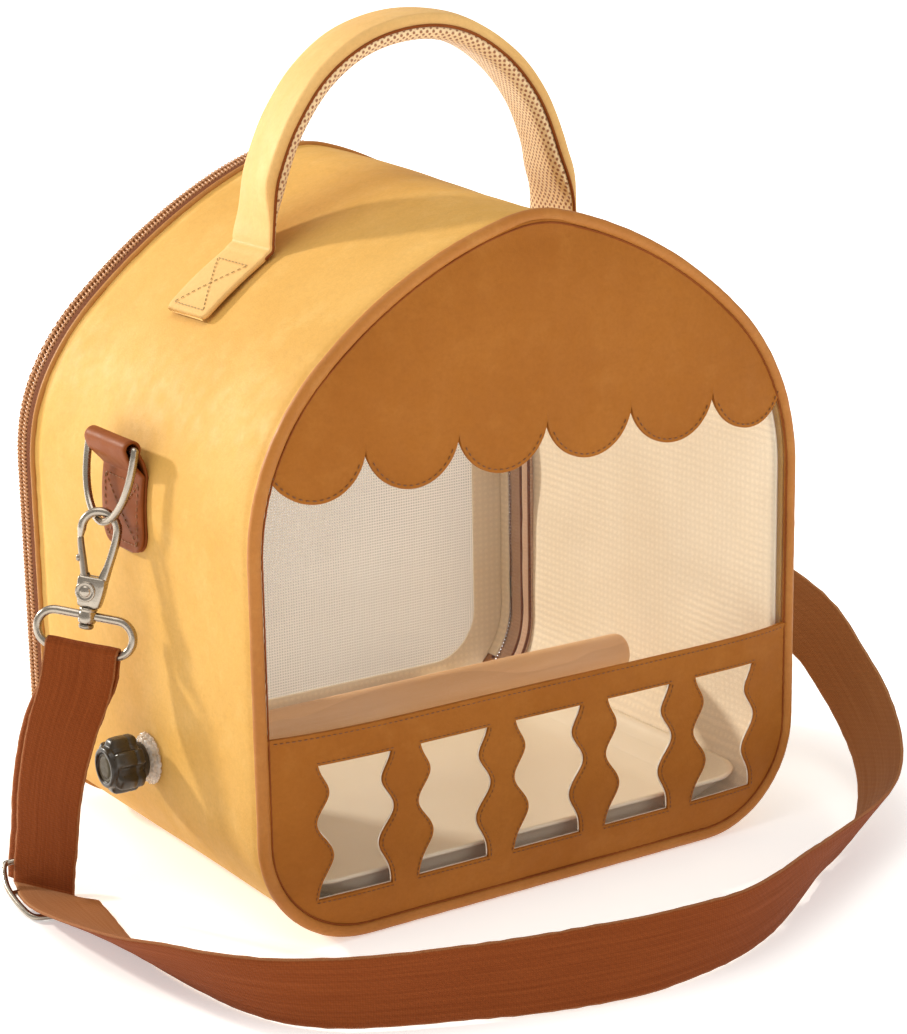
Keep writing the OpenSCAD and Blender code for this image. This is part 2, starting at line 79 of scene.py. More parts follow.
_lat = rng.rand(32, 32, 32)


def noise3(p, scale):
    """Smooth value noise from -1 to 1; p in mm, scale in mm."""
    q = np.asarray(p, float) / scale + 100.37
    i = np.floor(q).astype(int)
    f = q - i
    f = f * f * (3 - 2 * f)
    out = 0
    for a in (0, 1):
        for b in (0, 1):
            for c in (0, 1):
                w = (f[..., 0] if a else 1 - f[..., 0]) * (f[..., 1] if b else 1 - f[..., 1]) * (f[..., 2] if c else 1 - f[..., 2])
                out = out + w * _lat[(i[..., 0] + a) % 32, (i[..., 1] + b) % 32, (i[..., 2] + c) % 32]
    return out * 2 - 1


def catmull(rows, n):
    rows = np.asarray(rows, float)
    q = np.vstack([2 * rows[0] - rows[1], rows, 2 * rows[-1] - rows[-2]])
    out = []
    for i in range(1, len(q) - 2):
        p0, p1, p2, p3 = q[i - 1:i + 3]
        for k in range(n):
            t = k / n
            out.append(0.5 * ((2 * p1) + (p2 - p0) * t + (2 * p0 - 5 * p1 + 4 * p2 - p3) * t * t + (3 * p1 - p0 - 3 * p2 + p3) * t ** 3))
    out.append(rows[-1])
    return np.array(out)


def resample(pts, n, closed=False):
    pts = np.asarray(pts, float)
    if closed:
        pts = np.vstack([pts, pts[:1]])
    d = np.r_[0, np.cumsum(np.linalg.norm(np.diff(pts, axis=0), axis=1))]
    s = np.linspace(0, d[-1], n + 1)[:-1] if closed else np.linspace(0, d[-1], n)
    return np.stack([np.interp(s, d, pts[:, k]) for k in range(pts.shape[1])], 1)


def mesh(name, verts, faces, mat, uv=None, smooth=True):
    """verts in mm. uv is one pair per vertex, in metres."""
    me = bpy.data.meshes.new(name)
    me.from_pydata((np.asarray(verts, float) * MM).tolist(), [], [list(map(int, f)) for f in faces])
    me.validate()
    if uv is not None:
        uv = np.asarray(uv, float)
        layer = me.uv_layers.new(name="flat")
        idx = np.zeros(len(me.loops), int)
        me.loops.foreach_get("vertex_index", idx)
        layer.data.foreach_set("uv", uv[idx].ravel())
    me.polygons.foreach_set("use_smooth", [smooth] * len(me.polygons))
    ob = bpy.data.objects.new(name, me)
    bpy.context.scene.collection.objects.link(ob)
    if mat:
        me.materials.append(mat)
    return ob


def grid_faces(nu, nv, cu=False, cv=False, base=0, flip=False):
    a = []
    for i in range(nu if cu else nu - 1):
        for j in range(nv if cv else nv - 1):
            i2, j2 = (i + 1) % nu, (j + 1) % nv
            f = [base + i * nv + j, base + i2 * nv + j, base + i2 * nv + j2, base + i * nv + j2]
            a.append(f[::-1] if flip else f)
    return a


class Build:
    """Gathers parts of one mesh."""
    def __init__(self):
        self.v, self.f, self.uv = [], [], []

    def add(self, verts, faces, uv=None):
        b = len(self.v)
        verts = np.asarray(verts, float).reshape(-1, 3)
        self.v.extend(verts.tolist())
        self.f.extend([[b + k for k in f] for f in faces])
        self.uv.extend((np.zeros((len(verts), 2)) if uv is None else np.asarray(uv, float).reshape(-1, 2)).tolist())

    def make(self, name, mat, smooth=True):
        return mesh(name, self.v, self.f, mat, self.uv, smooth)


def frames_along(path, closed=False, up=(0, 0, 1)):
    p = np.asarray(path, float)
    n = len(p)
    if closed:
        t = unit(np.roll(p, -1, 0) - np.roll(p, 1, 0))
    else:
        t = np.zeros_like(p)
        t[1:-1] = p[2:] - p[:-2]
        t[0], t[-1] = p[1] - p[0], p[-1] - p[-2]
        t = unit(t)
    u = np.array(up, float)
    if abs(u @ t[0]) > 0.95:
        u = np.array([1.0, 0, 0])
    a = unit(u - (u @ t[0]) * t[0])
    A = [a]
    for i in range(1, n):
        a = A[-1] - (A[-1] @ t[i]) * t[i]
        A.append(unit(a))
    A = np.array(A)
    if closed:
        last = A[-1] - (A[-1] @ t[0]) * t[0]
        last = unit(last)
        ang = math.atan2(np.cross(last, A[0]) @ t[0], last @ A[0])
        for i in range(n):
            w = ang * i / n
            A[i] = A[i] * math.cos(w) + np.cross(t[i], A[i]) * math.sin(w)
    B = np.cross(t, A)
    return t, A, B


def tube_into(b, path, r, sides=12, closed=False, caps=True, r2=None, up=(0, 0, 1), dome=True):
    """A round or oval wire along a path; r may be one number or one for each point."""
    p = np.asarray(path, float)
    n = len(p)
    r = np.full(n, float(r)) if np.isscalar(r) else np.asarray(r, float)
    q = r if r2 is None else (np.full(n, float(r2)) if np.isscalar(r2) else np.asarray(r2, float))
    t, A, B = frames_along(p, closed, up)
    if caps and not closed and dome:
        # rounded ends
        add0 = [(p[0] - t[0] * r[0] * s, r[0] * c) for s, c in ((0.95, 0.25), (0.75, 0.66), (0.4, 0.92))]
        add1 = [(p[-1] + t[-1] * r[-1] * s, r[-1] * c) for s, c in ((0.4, 0.92), (0.75, 0.66), (0.95, 0.25))]
        k0, k1 = q[0] / r[0], q[-1] / r[-1]
        p = np.vstack([[a[0] for a in add0], p, [a[0] for a in add1]])
        r = np.r_[[a[1] for a in add0], r, [a[1] for a in add1]]
        q = np.r_[[a[1] * k0 for a in add0], q, [a[1] * k1 for a in add1]]
        A = np.vstack([np.repeat(A[:1], 3, 0), A, np.repeat(A[-1:], 3, 0)])
        B = np.vstack([np.repeat(B[:1], 3, 0), B, np.repeat(B[-1:], 3, 0)])
        n = len(p)
    ang = np.linspace(0, 2 * math.pi, sides, endpoint=False)
    V = p[:, None] + A[:, None] * (r[:, None] * np.cos(ang))[..., None] + B[:, None] * (q[:, None] * np.sin(ang))[..., None]
    d = np.r_[0, np.cumsum(np.linalg.norm(np.diff(p, axis=0), axis=1))] * MM
    uv = np.stack([np.repeat(d[:, None], sides, 1), np.repeat((ang / (2 * math.pi))[None], n, 0) * 2 * math.pi * r.mean() * MM], -1)
    f = grid_faces(n, sides, closed, True, flip=True)
    if caps and not closed:
        f.append(list(range(sides)))
        f.append([(n - 1) * sides + k for k in range(sides)][::-1])
    b.add(V.reshape(-1, 3), f, uv.reshape(-1, 2))


def revolve_into(b, profile, origin, axis, ref, sides=32, squash=1.0):
    """profile rows (distance along axis, radius)."""
    axis = unit(axis)
    A = unit(np.asarray(ref, float) - (np.asarray(ref, float) @ axis) * axis)
    B = np.cross(axis, A)
    ang = np.linspace(0, 2 * math.pi, sides, endpoint=False)
    prof = np.asarray(profile, float)
    V = np.asarray(origin, float) + prof[:, None, :1] * axis + prof[:, None, 1:2] * (np.cos(ang)[None, :, None] * A + squash * np.sin(ang)[None, :, None] * B)
    f = grid_faces(len(prof), sides, False, True, flip=True)
    if prof[0, 1] > 1e-6:
        f.append(list(range(sides)))
    if prof[-1, 1] > 1e-6:
        f.append([(len(prof) - 1) * sides + k for k in range(sides)][::-1])
    d = np.r_[0, np.cumsum(np.linalg.norm(np.diff(prof, axis=0), axis=1))] * MM
    uv = np.stack([np.repeat((ang * prof[:, 1].max() * MM)[None], len(prof), 0), np.repeat(d[:, None], sides, 1)], -1)
    b.add(V.reshape(-1, 3), f, uv.reshape(-1, 2))


# ------------------------------------------------------------------ the bag's outline
HALF_W, CR, ST, SR, RR, FZ, SA, RA = 128.0, 44.0, 156.0, 95.0, 194.0, 2.6, 46.0, 75.5
FRONT_Y, BACK_Y = -104.3, 83.8


def dirv(a):
    a = np.radians(a)
    return np.stack([-np.cos(a), np.sin(a)], -1)


c_low = np.array([-HALF_W + CR, FZ + CR])
c_sh = np.array([-HALF_W + SR, ST])
c_roof = c_sh + (SR - RR) * dirv(SA)
apex_r = RR - c_roof[0] / math.cos(math.radians(RA))
c_apex = c_roof + (RR - apex_r) * dirv(RA)


def outline_raw():
    """Points and outward normals from the bottom's middle, over the left, to the top and down the right."""
    P, N = [], []
    for x in np.linspace(0, c_low[0], 40, endpoint=False):
        P.append((x, FZ)); N.append((0, -1))
    for a in np.linspace(-90, 0, 50, endpoint=False):
        P.append(c_low + CR * dirv(a)); N.append(dirv(a))
    for z in np.linspace(FZ + CR, ST, 50, endpoint=False):
        P.append((-HALF_W, z)); N.append((-1, 0))
    for a in np.linspace(0, SA, 40, endpoint=False):
        P.append(c_sh + SR * dirv(a)); N.append(dirv(a))
    for a in np.linspace(SA, RA, 50, endpoint=False):
        P.append(c_roof + RR * dirv(a)); N.append(dirv(a))
    for a in np.linspace(RA, 90, 16):
        P.append(c_apex + apex_r * dirv(a)); N.append(dirv(a))
    P, N = np.array(P, float), np.array(N, float)
    P2, N2 = P[:-1][::-1][:-1].copy(), N[:-1][::-1][:-1].copy()
    P2[:, 0] *= -1; N2[:, 0] *= -1
    return np.vstack([P, P2]), np.vstack([N, N2])


def outline(n):
    P, N = outline_raw()
    Q = resample(np.hstack([P, N]), n, closed=True)
    return Q[:, :2], unit(Q[:, 2:])


def warp(V):
    """The roof sits a little higher and further right towards the back."""
    V = np.array(V, float)
    t = smooth01((V[..., 1] + 95) / 185)
    up = smooth01((V[..., 2] - 175) / 95)
    V[..., 0] += 7.0 * t * up
    V[..., 2] += 7.5 * t * up * np.exp(-((V[..., 0] - 16) / 85) ** 2)
    return V


def half_width(z, o=-2.7):
    """Half width of the outline, moved out by o, at height z."""
    P, N = outline_raw()
    Q = P + o * N
    k = len(Q) // 2 + 1
    Q = Q[:k]
    return float(np.interp(z, Q[:, 1], -Q[:, 0])) if z < Q[:, 1].max() else 0.0


_P, _N = outline_raw()


def edge_distance(x, z, o=-2.7):
    """Distance inside the outline moved out by o."""
    Q = (_P + o * _N)[::2]
    x, z = np.asarray(x, float), np.asarray(z, float)
    d = np.full(x.shape, 1e9)
    for q in Q:
        d = np.minimum(d, np.hypot(x - q[0], z - q[1]))
    return d


def bulge(x, z):
    """How far the front panel stands proud of its edge, in mm."""
    d = edge_distance(x, z)
    return 5.6 * (1 - np.exp(-d / 17.0)) + 0.9 * noise3(np.stack([np.asarray(x, float), np.zeros_like(np.asarray(x, float)), np.asarray(z, float)], -1), 55) * smooth01(d / 30)


# ------------------------------------------------------------------ materials
class Mat:
    """A small helper to wire a Principled material."""
    def __init__(self, name, rough=0.5, metallic=0.0, spec=0.5, sheen=0.0, coat=0.0, alpha=1.0, ior=1.45):
        self.m = bpy.data.materials.new(name)
        self.m.use_nodes = True
        self.nt = self.m.node_tree
        self.b = self.nt.nodes["Principled BSDF"]
        self.b.inputs["Roughness"].default_value = rough
        self.b.inputs["Metallic"].default_value = metallic
        self.b.inputs["Specular IOR Level"].default_value = spec
        self.b.inputs["Sheen Weight"].default_value = sheen
        self.b.inputs["Coat Weight"].default_value = coat
        self.b.inputs["Alpha"].default_value = alpha
        self.b.inputs["IOR"].default_value = ior
        self._obj = None

    def n(self, kind, **kw):
        x = self.nt.nodes.new(kind)
        for k, v in kw.items():
            if k in x.inputs:
                x.inputs[k].default_value = v
            else:
                setattr(x, k, v)
        return x

    def link(self, a, b):
        self.nt.links.new(a, b)

    def coords(self, kind="Object"):
        if self._obj is None:
            self._obj = self.n("ShaderNodeTexCoord")
        return self._obj.outputs[kind]

    def mapped(self, scale=(1, 1, 1), rot=(0, 0, 0), kind="Object"):
        m = self.n("ShaderNodeMapping")
        m.inputs["Scale"].default_value = scale
        m.inputs["Rotation"].default_value = rot
        self.link(self.coords(kind), m.inputs["Vector"])
        return m.outputs["Vector"]

    def noise(self, scale, detail=3.0, rough=0.5, vec=None, dist=0.0):
        x = self.n("ShaderNodeTexNoise")
        x.inputs["Scale"].default_value = scale
        x.inputs["Detail"].default_value = detail
        x.inputs["Roughness"].default_value = rough
        x.inputs["Distortion"].default_value = dist
        self.link(vec or self.coords(), x.inputs["Vector"])
        return x.outputs["Fac"]

    def voronoi(self, scale, feature="F1", vec=None, rand=1.0):
        x = self.n("ShaderNodeTexVoronoi")
        x.feature = feature
        x.inputs["Scale"].default_value = scale
        x.inputs["Randomness"].default_value = rand
        self.link(vec or self.coords(), x.inputs["Vector"])
        return x.outputs["Distance"]

    def wave(self, scale, direction="X", vec=None, dist=0.0, profile="SIN", wave_type="BANDS", dscale=1.0):
        x = self.n("ShaderNodeTexWave")
        x.wave_type = wave_type
        x.bands_direction = direction
        x.wave_profile = profile
        x.inputs["Scale"].default_value = scale
        x.inputs["Distortion"].default_value = dist
        x.inputs["Detail Scale"].default_value = dscale
        self.link(vec or self.coords(), x.inputs["Vector"])
        return x.outputs["Fac"]

    def math(self, op, a, b=None, clamp=False):
        x = self.n("ShaderNodeMath")
        x.operation = op
        x.use_clamp = clamp
        for i, s in enumerate((a, b)):
            if s is None:
                continue
            if isinstance(s, (int, float)):
                x.inputs[i].default_value = s
            else:
                self.link(s, x.inputs[i])
        return x.outputs[0]

    def remap(self, v, a, b, c, d):
        x = self.n("ShaderNodeMapRange")
        for i, val in ((1, a), (2, b), (3, c), (4, d)):
            x.inputs[i].default_value = val
        self.link(v, x.inputs[0])
        return x.outputs[0]

    def ramp(self, v, stops):
        x = self.n("ShaderNodeValToRGB")
        r = x.color_ramp
        while len(r.elements) < len(stops):
            r.elements.new(0.5)
        for e, (p, c) in zip(r.elements, stops):
            e.position = p
            e.color = tuple(c) + (1,)
        self.link(v, x.inputs[0])
        return x.outputs[0]

    def mix(self, fac, a, b, blend="MIX"):
        x = self.n("ShaderNodeMix")
        x.data_type = "RGBA"
        x.blend_type = blend
        for i, s in ((0, fac), (6, a), (7, b)):
            if isinstance(s, (int, float)):
                x.inputs[i].default_value = s
            elif isinstance(s, (tuple, list)):
                x.inputs[i].default_value = tuple(s) + (1,)
            else:
                self.link(s, x.inputs[i])
        return x.outputs[2]

    def color(self, c):
        self.link(c, self.b.inputs["Base Color"])

    def rough(self, v):
        self.link(v, self.b.inputs["Roughness"])

    def bump(self, h, strength=0.3, dist=0.0005, prev=None):
        x = self.n("ShaderNodeBump")
        x.inputs["Strength"].default_value = strength
        x.inputs["Distance"].default_value = dist
        self.link(h, x.inputs["Height"])
        if prev is not None:
            self.link(prev, x.inputs["Normal"])
        self.link(x.outputs[0], self.b.inputs["Normal"])
        return x.outputs[0]


def leather(name, c1, c2, c3=None, rough=(0.42, 0.6), grain=1.0, spec=0.45, sheen=0.0):
    """Coated fabric: soft colour clouds, a fine pebble grain and small wear."""
    m = Mat(name, spec=spec, sheen=sheen)
    clouds = m.noise(16, 4, 0.55)
    fine = m.noise(620, 3, 0.6)
    pebble = m.voronoi(1300)
    col = m.mix(m.remap(clouds, 0.35, 0.65, 0, 1), c1, c2)
    if c3 is not None:
        col = m.mix(m.remap(m.noise(55, 5, 0.65), 0.52, 0.75, 0, 0.55), col, c3)
    col = m.mix(m.remap(fine, 0.3, 0.7, 0, 0.22), col, tuple(x * 0.68 for x in c2))
    col = m.mix(m.remap(m.noise(190, 4, 0.7, m.mapped((1, 1, 2.2))), 0.5, 0.7, 0, 0.16), col, tuple(x * 0.7 for x in c2))
    m.color(col)
    m.rough(m.remap(m.noise(130, 3), 0.3, 0.7, rough[0], rough[1]))
    h = m.math("ADD", m.math("MULTIPLY", pebble, 0.7), m.math("MULTIPLY", fine, 0.5))
    n1 = m.bump(h, 0.35 * grain, 0.00012)
    m.bump(m.noise(70, 4, 0.55), 0.12, 0.0004, n1)
    return m.m


def woven(name, c1, c2, pitch=0.0011, rough=0.85, kind="Object", strength=0.5, sheen=0.03):
    """Plain weave with threads of that pitch."""
    m = Mat(name, rough=rough, spec=0.1, sheen=sheen)
    k = 1 / pitch / 6.2832 * 6.2832 / 2
    v = m.mapped((1, 1, 1), kind=kind)
    a = m.wave(k / 3.1416, "X", v, 1.2, dscale=3)
    b = m.wave(k / 3.1416, "Z" if kind == "Object" else "Y", v, 1.2, dscale=3)
    c = m.wave(k / 3.1416, "Y", v, 1.0, dscale=3) if kind == "Object" else b
    w = m.math("MULTIPLY", m.math("ADD", a, c), b)
    cloud = m.noise(22, 4, 0.6)
    col = m.mix(m.remap(cloud, 0.3, 0.7, 0, 1), c1, c2)
    col = m.mix(m.remap(w, 0.0, 1.2, 0.22, 0.0), col, tuple(x * 0.6 for x in c2))
    m.color(col)
    m.bump(w, strength, 0.00025)
    return m.m


def webbing(name, c1, c2, edge):
    """Ribbed strap webbing on flat coordinates: u along, v across, metres."""
    m = Mat(name, rough=0.72, spec=0.08, sheen=0.03)
    v = m.mapped((1, 1, 1), kind="UV")
    rows = m.wave(330, "X", v, 1.6, dscale=9)
    cols = m.wave(430, "Y", v, 1.2, dscale=9)
    chev = m.wave(210, "DIAGONAL", v, 0.8, dscale=6)
    streak = m.noise(60, 4, 0.7, m.mapped((0.25, 14, 1), kind="UV"))
    w = m.math("ADD", m.math("MULTIPLY", rows, cols), m.math("MULTIPLY", chev, 0.35))
    col = m.mix(m.remap(streak, 0.35, 0.65, 0, 1), c1, c2)
    col = m.mix(m.remap(w, 0.1, 1.1, 0.30, 0.0), col, tuple(x * 0.4 for x in c1))
    sep = m.n("ShaderNodeSeparateXYZ")
    m.link(m.coords("UV"), sep.inputs[0])
    dist_edge = m.math("ABSOLUTE", sep.outputs[1])
    fray = m.noise(900, 2, 0.5)
    e = m.math("ADD", dist_edge, m.math("MULTIPLY", m.math("SUBTRACT", fray, 0.5), 0.0006))
    col = m.mix(m.remap(e, 0.01425, 0.0147, 0.0, 0.75), col, edge)
    m.color(col)
    m.rough(m.remap(streak, 0.3, 0.7, 0.62, 0.85))
    n1 = m.bump(w, 0.6, 0.0003)
    m.bump(m.noise(240, 3), 0.15, 0.0004, n1)
    return m.m


def metal(name, c, rough=(0.16, 0.34)):
    m = Mat(name, metallic=1.0)
    cl = m.noise(90, 4, 0.6)
    m.color(m.mix(m.remap(cl, 0.3, 0.7, 0, 1), c, tuple(x * 0.78 for x in c)))
    m.rough(m.remap(m.noise(380, 4, 0.7, m.mapped((1, 1, 6))), 0.3, 0.7, rough[0], rough[1]))
    m.bump(m.noise(900, 3), 0.08, 0.0001)
    return m.m


M = {}
M["yellow"] = leather("yellow_coated_fabric", (0.725, 0.425, 0.118), (0.665, 0.372, 0.09), (0.765, 0.485, 0.162), rough=(0.54, 0.68), grain=1.3, spec=0.13)
M["yellow_handle"] = leather("handle_coated_fabric", (0.80, 0.50, 0.19), (0.74, 0.44, 0.15), (0.82, 0.55, 0.22), rough=(0.5, 0.66), grain=1.3, spec=0.2)
M["caramel"] = leather("caramel_coated_fabric", (0.385, 0.136, 0.020), (0.338, 0.112, 0.015), (0.425, 0.162, 0.029), rough=(0.5, 0.66), grain=1.3, spec=0.12)
M["piping"] = leather("piping_coated_fabric", (0.48, 0.185, 0.036), (0.42, 0.155, 0.028), (0.54, 0.25, 0.06), rough=(0.42, 0.56), spec=0.25)
M["tab"] = leather("brown_coated_fabric", (0.27, 0.072, 0.014), (0.21, 0.052, 0.010), (0.33, 0.095, 0.020), rough=(0.42, 0.56), spec=0.1)
M["base"] = leather("bottom_coated_fabric", (0.50, 0.26, 0.08), (0.44, 0.22, 0.06), (0.36, 0.18, 0.06))
M["rear_edge"] = leather("rear_edge_fabric", (0.50, 0.22, 0.05), (0.43, 0.18, 0.04), (0.56, 0.28, 0.08), spec=0.2)
M["lining"] = woven("cream_lining_painted_glow", (0.92, 0.79, 0.60), (0.86, 0.72, 0.53), 0.0016, 0.8, strength=0.3)
# painted light: the cream lining glows faintly in warm cream to brighten the bag's inside; the door's inner facing
# shares it
for nd in M["lining"].node_tree.nodes:
    if nd.type == "BSDF_PRINCIPLED":
        nd.inputs["Emission Color"].default_value = (1.0, 0.85, 0.65, 1)
        nd.inputs["Emission Strength"].default_value = 0.03
M["binding"] = woven("brown_binding", (0.58, 0.37, 0.25), (0.52, 0.32, 0.20), 0.0009, 0.8)
M["tape"] = woven("zip_tape", (0.175, 0.048, 0.010), (0.14, 0.038, 0.008), 0.0008, 0.75)
M["strap"] = webbing("strap_webbing", (0.29, 0.068, 0.014), (0.225, 0.049, 0.010), (0.36, 0.15, 0.06))
M["metal"] = metal("nickel", (0.43, 0.375, 0.31), (0.2, 0.32))
M["metal_dark"] = metal("nickel_aged", (0.34, 0.29, 0.235), (0.24, 0.4))
M["steel"] = metal("plain_steel", (0.55, 0.53, 0.50), (0.28, 0.45))


def mat_thread(name, c):
    m = Mat(name, rough=0.7, spec=0.3, sheen=0.2)
    t = m.wave(1500, "DIAGONAL", None, 0.6)
    m.color(m.mix(m.remap(t, 0, 1, 0.0, 0.5), c, tuple(x * 0.5 for x in c)))
    m.bump(t, 0.4, 0.0001)
    return m.m


M["thread"] = mat_thread("dark_thread", (0.19, 0.068, 0.018))
M["thread_tan"] = mat_thread("tan_thread", (0.34, 0.14, 0.04))
M["thread_brown"] = mat_thread("brown_thread", (0.42, 0.27, 0.085))


def mat_coil():
    m = Mat("zip_coil", rough=0.42, spec=0.5)
    cl = m.noise(300, 3)
    m.color(m.mix(m.remap(cl, 0.3, 0.7, 0, 1), (0.56, 0.27, 0.105), (0.45, 0.20, 0.075)))
    m.rough(m.remap(m.noise(900, 2), 0.3, 0.7, 0.3, 0.5))
    m.bump(m.noise(1800, 3), 0.2, 0.0001)
    return m.m


def mat_film():
    """Clear flexible film: mostly see-through, with a soft gloss that grows at grazing angles."""
    m = Mat("clear_film", rough=0.09, spec=0.6, alpha=0.05, coat=0.2)
    m.b.inputs["Coat Roughness"].default_value = 0.04
    m.color(m.mix(m.remap(m.noise(9, 3), 0.3, 0.7, 0, 1), (0.93, 0.93, 0.90), (0.97, 0.96, 0.93)))
    lw = m.n("ShaderNodeLayerWeight", Blend=0.3)
    a = m.math("MULTIPLY", m.math("POWER", lw.outputs["Facing"], 3.0), 0.30)
    a = m.math("ADD", a, m.remap(m.noise(14, 4, 0.6, m.mapped((1, 1, 0.35))), 0.45, 0.8, 0.012, 0.045))
    m.link(a, m.b.inputs["Alpha"])
    m.rough(m.remap(m.noise(30, 3), 0.3, 0.7, 0.05, 0.14))
    m.bump(m.noise(24, 2, 0.4, m.mapped((1, 1, 0.5))), 0.35, 0.002)
    return m.m


def mat_mesh(name="white_mesh", outer=False):
    """Open white mesh with square holes of about one millimetre. The outer face is more matt and painted greyer as
    shade, with painted shade in its holes; the inner face glows faintly as painted light.
    """
    m = Mat(name, rough=0.75, spec=0.08 if outer else 0.25)
    v = m.mapped((1, 1, 1))
    a = m.wave(230, "X", v, 0.4, dscale=2)
    b = m.wave(230, "Z", v, 0.4, dscale=2)
    hole = m.math("MULTIPLY", m.remap(a, 0.35, 0.62, 0, 1), m.remap(b, 0.35, 0.62, 0, 1))
    m.color(m.mix(m.remap(m.noise(18, 4), 0.3, 0.7, 0, 1), (0.86, 0.83, 0.77), (0.80, 0.77, 0.71)))
    if outer:
        # painted shade: the outer face is coloured greyer than the inner one, with darker colour painted into its
        # holes
        m.color(m.mix(hole, m.mix(m.remap(m.noise(18, 4), 0.3, 0.7, 0, 1), (0.55, 0.53, 0.485), (0.49, 0.47, 0.43)), (0.25, 0.235, 0.21)))
    else:
        # painted light: the inner face glows faintly, as if lit through from behind
        m.b.inputs["Emission Color"].default_value = (1.0, 0.97, 0.91, 1)
        m.b.inputs["Emission Strength"].default_value = 0.13
    al = m.remap(hole, 0, 1, 1.0, 0.45)
    m.link(al, m.b.inputs["Alpha"])
    m.bump(m.math("ADD", a, b), 0.4, 0.0003)
    return m.m


def mat_wood():
    m = Mat("pale_wood", rough=0.5, spec=0.4)
    g = m.noise(60, 6, 0.65, m.mapped((0.12, 1.6, 1.6)), 1.5)
    r = m.wave(26, "Z", m.mapped((0.25, 1, 1)), 7.0, dscale=1.6, profile="SAW")
    c = m.mix(m.remap(g, 0.3, 0.7, 0, 1), (0.80, 0.50, 0.26), (0.72, 0.41, 0.19))
    c = m.mix(m.remap(r, 0.4, 1.0, 0, 0.35), c, (0.55, 0.29, 0.13))
    c = m.mix(m.remap(m.noise(7, 2), 0.6, 0.66, 0, 0.25), c, (0.40, 0.22, 0.11))
    m.color(c)
    m.rough(m.remap(g, 0.2, 0.8, 0.38, 0.62))
    m.bump(m.math("ADD", g, m.math("MULTIPLY", r, 0.3)), 0.25, 0.0004)
    return m.m


def mat_knob():
    m = Mat("dark_plastic", rough=0.34, spec=0.5, coat=0.15)
    m.color(m.mix(m.remap(m.noise(160, 4), 0.35, 0.65, 0, 1), (0.022, 0.015, 0.008), (0.050, 0.036, 0.018)))
    m.rough(m.remap(m.noise(500, 3), 0.3, 0.7, 0.24, 0.46))
    m.bump(m.noise(1400, 3), 0.2, 0.00015)
    return m.m


def mat_knob_face():
    m = Mat("knob_face", rough=0.5, spec=0.4)
    m.color(m.mix(m.remap(m.noise(300, 4), 0.3, 0.7, 0, 1), (0.125, 0.105, 0.062), (0.085, 0.070, 0.040)))
    m.rough(m.remap(m.noise(700, 2), 0.3, 0.7, 0.35, 0.6))
    m.bump(m.noise(1500, 3), 0.3, 0.00015)
    return m.m


def mat_tray():
    m = Mat("cream_plastic", rough=0.38, spec=0.5)
    m.b.inputs["Subsurface Weight"].default_value = 0.08
    m.b.inputs["Subsurface Radius"].default_value = (0.004, 0.003, 0.002)
    m.color(m.mix(m.remap(m.noise(14, 4), 0.3, 0.7, 0, 1), (0.86, 0.77, 0.62), (0.82, 0.72, 0.56)))
    m.rough(m.remap(m.noise(200, 3), 0.3, 0.7, 0.3, 0.48))
    m.bump(m.noise(1200, 3), 0.12, 0.0001)
    return m.m


def mat_pad():
    """Spacer mesh: rows of small round holes on flat coordinates in metres."""
    m = Mat("perforated_mesh", rough=0.8, spec=0.2, sheen=0.3)
    v = m.mapped((1, 1, 1), (0, 0, 0.7854), kind="UV")
    x = m.n("ShaderNodeTexVoronoi")
    x.feature = "F1"
    x.inputs["Scale"].default_value = 430
    x.inputs["Randomness"].default_value = 0.12
    m.link(v, x.inputs["Vector"])
    d = x.outputs["Distance"]
    c = m.mix(m.remap(m.noise(40, 4), 0.3, 0.7, 0, 1), (0.92, 0.72, 0.44), (0.87, 0.64, 0.37))
    c = m.mix(m.remap(d, 0.22, 0.38, 0.95, 0.0), c, (0.33, 0.13, 0.06))
    m.color(c)
    m.bump(m.remap(d, 0.18, 0.40, 0, 1), 0.6, 0.0003)
    return m.m


def mat_clear():
    m = Mat("clear_plastic", rough=0.12, spec=0.8, alpha=0.42, coat=0.5)
    m.color(m.mix(m.remap(m.noise(200, 3), 0.3, 0.7, 0, 1), (0.95, 0.92, 0.86), (0.55, 0.42, 0.26)))
    m.rough(m.remap(m.noise(500, 3), 0.3, 0.7, 0.08, 0.22))
    m.bump(m.noise(600, 2), 0.2, 0.0003)
    return m.m


def mat_board():
    m = Mat("stiff_board", rough=0.7, spec=0.3)
    m.color(m.mix(m.remap(m.noise(90, 5, 0.7), 0.3, 0.7, 0, 1), (0.66, 0.56, 0.40), (0.58, 0.48, 0.33)))
    m.bump(m.noise(700, 4), 0.3, 0.0002)
    return m.m


M["coil"] = mat_coil()
M["film"] = mat_film()
M["mesh"] = mat_mesh()
M["mesh_outer"] = mat_mesh("white_mesh_outer_face_painted_shade", True)
M["wood"] = mat_wood()
M["knob"] = mat_knob()
M["knob_face"] = mat_knob_face()
M["tray"] = mat_tray()
M["pad"] = mat_pad()
M["clear"] = mat_clear()
M["board"] = mat_board()


def mat_film_edge():
    # painted highlight: the film's real cut edge is given a pale, opaque colour
    m = Mat("clear_film_edge_painted_highlight", rough=0.3, spec=0.5)
    m.color(m.mix(m.remap(m.noise(300, 3), 0.3, 0.7, 0, 1), (0.93, 0.88, 0.78), (0.80, 0.68, 0.52)))
    m.rough(m.remap(m.noise(700, 2), 0.3, 0.7, 0.2, 0.4))
    m.bump(m.noise(900, 2), 0.1, 0.0001)
    return m.m


M["film_edge"] = mat_film_edge()


def put(ob, body, replaces=()):
    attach(ob, body)
    if replaces:
        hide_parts(*replaces)
    return ob


